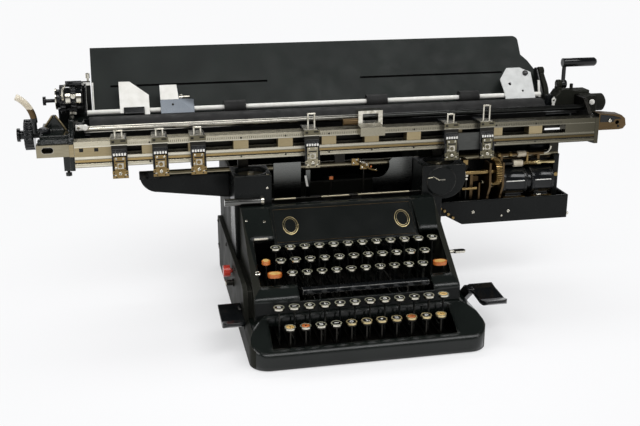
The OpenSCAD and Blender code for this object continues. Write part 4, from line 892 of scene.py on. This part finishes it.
def dress_totalisers():
    """Faces and finishes of the single totalisers, of the joined pair and of the margin block."""
    for name, plate in UNITS.items():
        low, high = box_of(name)
        middle = (low.x + high.x) / 2
        paint_unit(name, middle)
        unit = Piece(name + "_face", name)
        dress_unit(unit, middle, plate)
    low, high = box_of("register_unit")
    unit = Piece("register_unit_faces", "register_unit")
    repaint("register_unit", "grey_steel", lambda x, y, z: low.x + 20.2 < x < high.x - 20.2)
    for x in (low.x + PAIR_MIDDLE, high.x - PAIR_MIDDLE):
        paint_unit("register_unit", x)
        dress_unit(unit, x, "dull_steel")
    repaint("margin_block", "rail_steel", lambda x, y, z: z < MARGIN_HEAD_Z)
    repaint("margin_block", "bronze", lambda x, y, z: x < 27.5 and z > MARGIN_HEAD_Z)


TABLE_LEAN = 54.5
TABLE_FOOT = (121, 256)
SHEET_FOOT = (105, 262)
TABLE_SIDE, TABLE_TOP = 318, 102
TABLE_CORNER, WING_CORNER = 22, 8.5
GUIDE_BACK = 3.75
BAIL_ROD = (-332, 328.9)
PAN_RADII = (22.4, 23.4)
PAN_LIP = ((120, 249.9), (120, 248.9))


def dress_paper_side():
    """The guides' fittings, the bail arm's strip, the paper table's wing, a white strip as a painted
    highlight on its left edge, and the paper pan.
    """
    on_table, on_sheet = leaning(*TABLE_FOOT, TABLE_LEAN), leaning(*SHEET_FOOT, TABLE_LEAN)
    to_table, to_sheet = on_table.inverted(), on_sheet.inverted()
    for name in ("guide_left", "guide_middle", "guide_right"):
        repaint(name, "dark_steel", lambda x, y, z: (to_sheet @ Vector((x, y, z))).z < GUIDE_BACK)
    repaint("paper_bail", "black_gloss", lambda x, y, z: not BAIL_ROD[0] <= x <= BAIL_ROD[1])
    add_box("bail_arm_strip", "paper_bail", "white_paint", (325.6, 329.2), (0, 25), (-0.4, 0.5), 0.2,
            leaning(103, 258, 73.7))
    wing = Piece("paper_table_wing", "paper_table", "crinkle", on_table)
    wing.sheet([(TABLE_SIDE, 2), (346, 2), (345, 16), (341, 32), (335, 46), (327, 60), (TABLE_SIDE, 70)],
               (-1.5, -0.2))
    quarter = [radians(9 * i) for i in range(11)]
    tight, wide = (arc((TABLE_SIDE - r, TABLE_TOP - r), r, r, quarter) for r in (WING_CORNER, TABLE_CORNER))
    wing.sheet(tight + wide[::-1], (-2.4, 0))

    def in_groove(x, y, z):
        place = to_table @ Vector((x, y, z))
        return 39 < place.y < 44 and -1.3 < place.z < -0.2

    # The groove's faces are painted near black: painted shade in the recess.
    repaint("paper_table", "groove_painted_shade", in_groove)
    add_box("guide_left_clamp", "guide_left", "black_gloss", (-283, -255), (-7.5, 2.5), (5.45, 8.2), 0.5,
            on_sheet)
    middle = Piece("guide_middle_face", "guide_middle", "white_paint", on_sheet)
    middle.sheet([(-232.6, 12.6), (-232.6, 34.6), (-209.4, 34.6), (-207.6, 13.8), (-207.8, 12.6)],
                 (5.45, 5.8))
    middle.screw((-216, 5, 5.4), UP, 1.6, "dark_steel")
    middle.use("nickel").rod((-205, 17, 3), (-192, 17, 3), 1.6)
    middle.turn((-204, 17, 0), UP, [(0, 3), (5, 3), (5.4, 2.4)])
    right = Piece("guide_right_fittings", "guide_right", "black_gloss", on_sheet)
    right.turn((309, 32.5, 5.3), UP, [(0, 4.2), (1.6, 4.2), (2.2, 3.4), (2.2, 2.2), (1.8, 1.8)], 20)
    right.screw((300, 4, 5.4), UP, 1.6, "dark_steel")
    pan = Piece("paper_pan", "carriage_beam", "crinkle", SIDE_ON)
    low, high = box_of("platen")
    platen = (low + high).yz / 2
    bend = [radians(7 * i) for i in range(-10, 3)]
    inside, outside = (arc(platen, r, r, bend) + [lip] for r, lip in zip(PAN_RADII, PAN_LIP))
    pan.sheet(inside + outside[::-1], (-322, TABLE_SIDE))
    # White strip along the table's left edge: a painted highlight of that edge.
    add_box("paper_table_edge_highlight", "paper_table", "white_paint", (-324.6, -322.6), (1, 48), (0.05, 0.6), 0.1,
            on_table)


STACK_AXIS = (108, 282)
LEVER_NECK_Z, LEVER_FOOT_Z = 280, 268
ARM_TIP = (-262, 185.6)
SLOT_HALF = 3.5
SLOT_RADIUS = 4.2


def dress_left_end():
    """Bright line-space stack, trim and back plate of the left end, and the plate on the arm's tip."""
    repaint("carriage_end_left", "steel", lambda x, y, z: x < -355.5 and y < 38.5 and 222.5 < z < 240)
    repaint("linespace_lever", "bronze", lambda x, y, z: z < LEVER_NECK_Z)
    repaint("linespace_lever", "black_gloss", lambda x, y, z: z < LEVER_FOOT_Z)
    stack = Piece("linespace_bands", "linespace_housing", "nickel")
    stack.turn((-372.4, *STACK_AXIS), RIGHT, [(0, 14.1), (0.3, 14.4), (1.6, 14.4), (1.9, 14.1)], 32)
    stack.screw((-371, *STACK_AXIS), LEFT, 5)
    stack.use("nickel").wire([(-362, 88.4, 284), (-362, 86.8, 291), (-361, 88, 298), (-358, 94, 303)], 1.5)
    stack.turn((-348.5, 92, 288), FRONT, [(0, 3.6), (2, 3.6), (2.5, 3)], 16)
    stack.box((-354.5, -345.5), (96.4, 98.2), (262.5, 266))
    for x, radius in (((-358.6, -352.4), 15.5), ((-344.6, -338.6), 14.5)):
        stack.shell(x, STACK_AXIS, radius, (145, 195), 0.8)

    rim = Piece("left_end_trim", "carriage_end_left", "bright_steel")
    low, high = box_of("register_rail")
    slot_x, slot_z = low.x - 33, (223 + high.z) / 2
    turn = [pi * (i + 0.5) / 12 for i in range(24)]
    rim.wire([(slot_x + copysign(SLOT_HALF, cos(a)) + SLOT_RADIUS * cos(a), low.y + 1,
               slot_z + SLOT_RADIUS * sin(a)) for a in turn], 0.5, 6, closed=True)
    rim.use("tan").box((low.x - 5.9, low.x - 0.1), (low.y - 0.2, low.y + 0.1), (222.6, high.z - 3), 0.08)
    for x0, x1 in ((-390, -376.2), (-359.4, -371.8)):
        rim.wire([(x0, 71.6, 247.4), ((x0 + x1) / 2, 71.6, 257.4), (x1, 71.6, 267)], 1.2)
    rim.use("black_gloss").box((-337, -326.6), (107, 110), (212, 254), 0.6)
    rim.use("white_paint").box((-347, -337), (58.8, 62.2), (248, 255.5), 0.6)
    rim.turn((-334.5, 57, 252.5), FRONT, [(0, 4.2), (1.8, 4.2), (2.4, 3.4)], 18)
    rim.screw((-343, 58.8, 252), FRONT, 2)

    tip = Piece("arm_tip_plate", "support_arm_left", "satin_black")
    tip.box((-268.4, -240), (42.5, 43.8), (180.5, 192), 0.5)
    tip.turn((ARM_TIP[0], 42.6, ARM_TIP[1]), FRONT, [(0, 5), (1, 5), (1.5, 4.2)], 24)
    tip.screw((ARM_TIP[0], 41.2, ARM_TIP[1]), FRONT, 2, "dark_steel")

    plate = Piece("left_back_plate", "carriage_end_left", "satin_black", upright(138.5))
    plate.sheet([(-372, 232), (-326.2, 232), (-326.2, 293.6), (-352, 293.6), (-362, 289), (-372, 276)],
                (0, 2.5))
    plate.box((-350.4, -326.2), (298.6, 299.9), (0, 3.8), 0.3)
    plate.use("white_paint").box((-349.6, -326.4), (294, 298.6), (0, 3.8))
    plate.place = UNMOVED
    plate.use("nickel")
    plate.turn((-329.2, 136.8, 299.8), UP, [(0, 1.5), (4, 1.5), (4.3, 2.8), (10.4, 2.8), (11.2, 2)], 20)


CRANK_PIVOT = (104, 276)
BAIL_PIVOT = (128, 292)
EAR_X = 385


def dress_feed_housing():
    """The feed housing in place of its CAD node; here the bail's bracket is a slim curved arm."""
    low = box_of("feed_housing")[0]
    end, top = box_of("carriage_end_right")[0].x, box_of("carriage_end_right")[1].z
    front, back = 95, 118
    housing = Piece("feed_housing_form", "feed_housing", "dull_enamel")
    housing.box((end - 1, end + 26), (front, back), (top, top + 5), 0.8)
    housing.box((end + 6, end + 26), (low.y, back), (low.z, top + 1), 0.8)
    housing.box((340.8, 348), (100, back), (246, 254), 0.6)
    housing.box((354, 359.7), (97, 111), (top + 4, 272), 0.6)
    for start, long, pivot in ((354, 5.7, CRANK_PIVOT), (low.x, 7.5, BAIL_PIVOT)):
        ring = [(0, 3.2), (0, 6.4), (0.4, 6.8), (long - 0.4, 6.8), (long, 6.4), (long, 3.2)]
        housing.turn((start, *pivot), RIGHT, ring, 32, hollow=True)
    housing.turn((end, CRANK_PIVOT[0], top + 4), UP, [(0, 2.5), (9.6, 2.5), (10, 2.1)], 16)
    housing.turn((end + 25, 92, 249), RIGHT, [(0, 13), (19, 13), (20, 12.2), (23, 8)], 40)
    housing.place = upright(front + 0.2)
    housing.sheet([(347, 242), (347, 253), (352, 261), (356, top + 5), (end, top + 5), (end, 242)],
                  (front - back, 0))
    housing.sheet([(344, 242), (344, 252), (349, 260), (358, 268), (end - 12, 270), (end + 8, 266),
                   (end + 22, 266), (end + 22, top + 0.5), (end, top + 0.5), (end, 242)], (0, 4.2))
    housing.place = SIDE_ON
    boss = [radians(190 + 14 * i) for i in range(11)]
    housing.sheet([(back, 246), (100, 246), (100, 264), (102.5, 270), (107, 276), (113, 281.5)]
                  + arc(BAIL_PIVOT, 5, 5, boss) + [(130, 279), (123, 270), (back, 263)],
                  (low.x + 0.4, low.x + 7.1))
    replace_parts(housing.finish(), "feed_housing")


def dress_right_end():
    """Lever painted white as a painted highlight of bright steel, dark plate beside the feed housing, and
    the fittings of the right end plate.
    """
    # The lever is painted white: a painted highlight standing in for the glint on bright steel.
    lever = Piece("feed_release_lever", "feed_housing", "white_paint", upright(91.1))
    lever.sheet([(341.5, 237), (346.5, 236.5), (349, 243), (346.6, 248.6), (348.5, 256), (345, 260),
                 (341.5, 256), (342.6, 249)], (0, 0.75))
    lever.place = UNMOVED
    lever.screw((345, 90.4, 255), FRONT, 1.5)
    plate = Piece("feed_back_plate", "feed_housing", "black_gloss")
    plate.box((334, 377), (98, 101), (222, 243), 0.6)
    plate.box((334, 346), (98, 101), (242, 262), 0.6)
    repaint("carriage_end_right", "rail_steel", lambda x, y, z: x < EAR_X and y < 21)
    repaint("carriage_end_right", "bronze", lambda x, y, z: x > EAR_X and y < 50 and (y < 20.6 or z > 240))
    low = box_of("carriage_end_right")[0]
    ear = Piece("right_ear_fittings", "carriage_end_right", "black_gloss", upright(low.y))
    ear.sheet([(EAR_X, 246), (405.6, 243.3), (415, 240.7), (419, 238.6), (408, 238.2), (406, 234.2),
               (EAR_X, 234.8)], (-0.05, 0.15))
    ear.place = UNMOVED
    ear.screw((400.5, low.y, 236.5), FRONT, 2.4)
    ear.screw((414, low.y, 228), FRONT, 1.8, "dark_steel")
    ear.use("white_paint").turn((396, 70.1, 254), FRONT, [(0, 4.2), (1, 4.2), (1.5, 3.4)], 20)


# Motor unit

MOTOR_FOOT_Z = 129.2
BRACKET_TOP_Z = 165
LINK_ROD = (38, 189.5)
DRUM_HIGHLIGHT_LINE = (23.4, 153.2)
NUT_POST = (186, 44)
COLLAR_POST = (190, 31)


def dress_motor():
    """The motor's brass feet, the linkage over the drums, white lines painted as the drums' highlights, and
    the fittings of the tray and right tower.
    """
    repaint("motor_housing", "brass", lambda x, y, z: z < MOTOR_FOOT_Z)
    repaint("gear_bracket", "cream_plastic", lambda x, y, z: 263.5 < x < 278.5 and z > BRACKET_TOP_Z)
    repaint("gear_bracket", "dark_steel", lambda x, y, z: 243 < x < 263.4 and z > BRACKET_TOP_Z)
    repaint("gear_bracket", "gold", lambda x, y, z: 278.5 < x and z > BRACKET_TOP_Z)
    link = Piece("motor_linkage", "gear_bracket", "bronze")
    link.box((246, 326), (48, 50), (180, 186))
    link.rod((238, *LINK_ROD), (310, *LINK_ROD), 2.2)
    for x in (243, 300):
        link.box((x, x + 4), (37, 48.6), (180.5, 190))
    link.use("cream_plastic").turn((269, *LINK_ROD), RIGHT, [(0, 3.6), (0.6, 4.4), (12.4, 4.4), (13, 3.6)])
    link.use("brass")
    for x, radius in ((238.5, 4), (256, 3.6)):
        collar = [(0, radius - 0.4), (0.4, radius), (4, radius), (4.4, radius - 0.4)]
        link.turn((x, *LINK_ROD), RIGHT, collar)
    link.spring((279, 40, 175), (299, 40, 175), 3.6, 0.6, 8)
    link.box((283, 286), (36, 44), (176.5, 192))
    link.use("nickel")
    link.wire([(304, *LINK_ROD), (312, 38, 189.6), (316, 38, 191), (319.5, 38, 195), (320.5, 38, 199)], 1.6)
    for x in (252, 270, 292, 318):
        link.screw((x, 48, 183), FRONT, 1.8, "nickel", x)
    link.use("dark_steel")
    link.wire([(236.5, 44, 176), (250, 46, 184), (282, 45, 184), (300, 44, 182), (322, 44, 180)], 1.1)
    add_box("motor_back_sheet", "motor_tray", "satin_black", (296, 335), (56.4, 58), (150, 198), 0.4)
    # White rods along the black drums are painted highlights.
    bands = Piece("motor_drum_highlights", "motor_housing", "white_paint")
    for x0, x1 in ((249, 277), (294, 318)):
        bands.rod((x0, *DRUM_HIGHLIGHT_LINE), (x1, *DRUM_HIGHLIGHT_LINE), 0.7, 0.1, 10)
    bands.use("nickel").box((297, 304), (24, 30), (129, 131.4))
    tray = Piece("tray_fittings", "motor_tray")
    low, high = box_of("motor_tray")
    for x, z, radius in ((199, 111.5, 2.3), (253, 110, 2.3), (243, 103.5, 1.5)):
        tray.screw((x, low.y, z), FRONT, radius, "nickel", x)
    tray.use("brass")
    for x, z, reach in ((149, 120, 2.2), (155, 116.5, 3), (161, 111, 2.4), (168, 105.5, 3)):
        tray.turn((x, low.y, z), FRONT, [(0, 2.4), (reach - 0.4, 2.4), (reach, 1.8)], 14)
    tray.turn((332, 40.1, 155.7), FRONT, [(0, 3.2), (1.6, 3.2), (2, 2.4)], 16)
    tray.use("nickel").turn((high.x - 1, 24, 99), RIGHT, [(0, 2.2), (4.6, 2.2), (5, 1.8)], 14)
    tray.use("bronze").box((198, 203), (36, 52), (126, 168), 0.5)
    tray.box((203, 214), (44, 47), (150, 158), 0.5)
    tray.rod((210, 30, 126), (210, 30, 152), 2.2)
    tray.use("brass").box((184, 192), (30, 46), (178, 187), 0.5)
    tray.box((184, 207), (29, 31.4), (142.6, 145.6))
    tray.use("dark_steel").rod((*NUT_POST, 128), (*NUT_POST, 188), 2.4)
    tray.rod((*COLLAR_POST, 110), (*COLLAR_POST, 180), 1.7)
    tray.use("nickel")
    for z in (150, 158, 184):
        tray.turn((*NUT_POST, z), UP, [(0, 4.4), (3, 4.4), (3.4, 3.8)], 6)
    for z, radius in ((158, 3.2), (163, 4), (168, 3.2)):
        tray.turn((*COLLAR_POST, z), UP, [(0, radius), (2.6, radius), (3, radius - 0.4)], 16)
    studs = Piece("tower_studs", "spool_housing_right", "nickel")
    face = box_of("spool_housing_right")[1].x
    for z, reach in ((186, 5), (174, 6)):
        studs.turn((face, 8, z), RIGHT, [(0, 2.6), (reach - 0.6, 2.6), (reach, 2)], 16)
    studs.wire([(119, -11.2, 176), (128, -11.6, 177), (135, -11.6, 172.5), (144, -11.2, 172.3)], 0.8)


add_camera()
add_studio()
for dress in (dress_nodes, dress_keys, dress_case, dress_basket, dress_rail, dress_totalisers,
              dress_paper_side, dress_left_end, dress_feed_housing, dress_right_end, dress_motor):
    dress()
    while PIECES:
        PIECES[0].finish()

scene.view_settings.view_transform = "Standard"
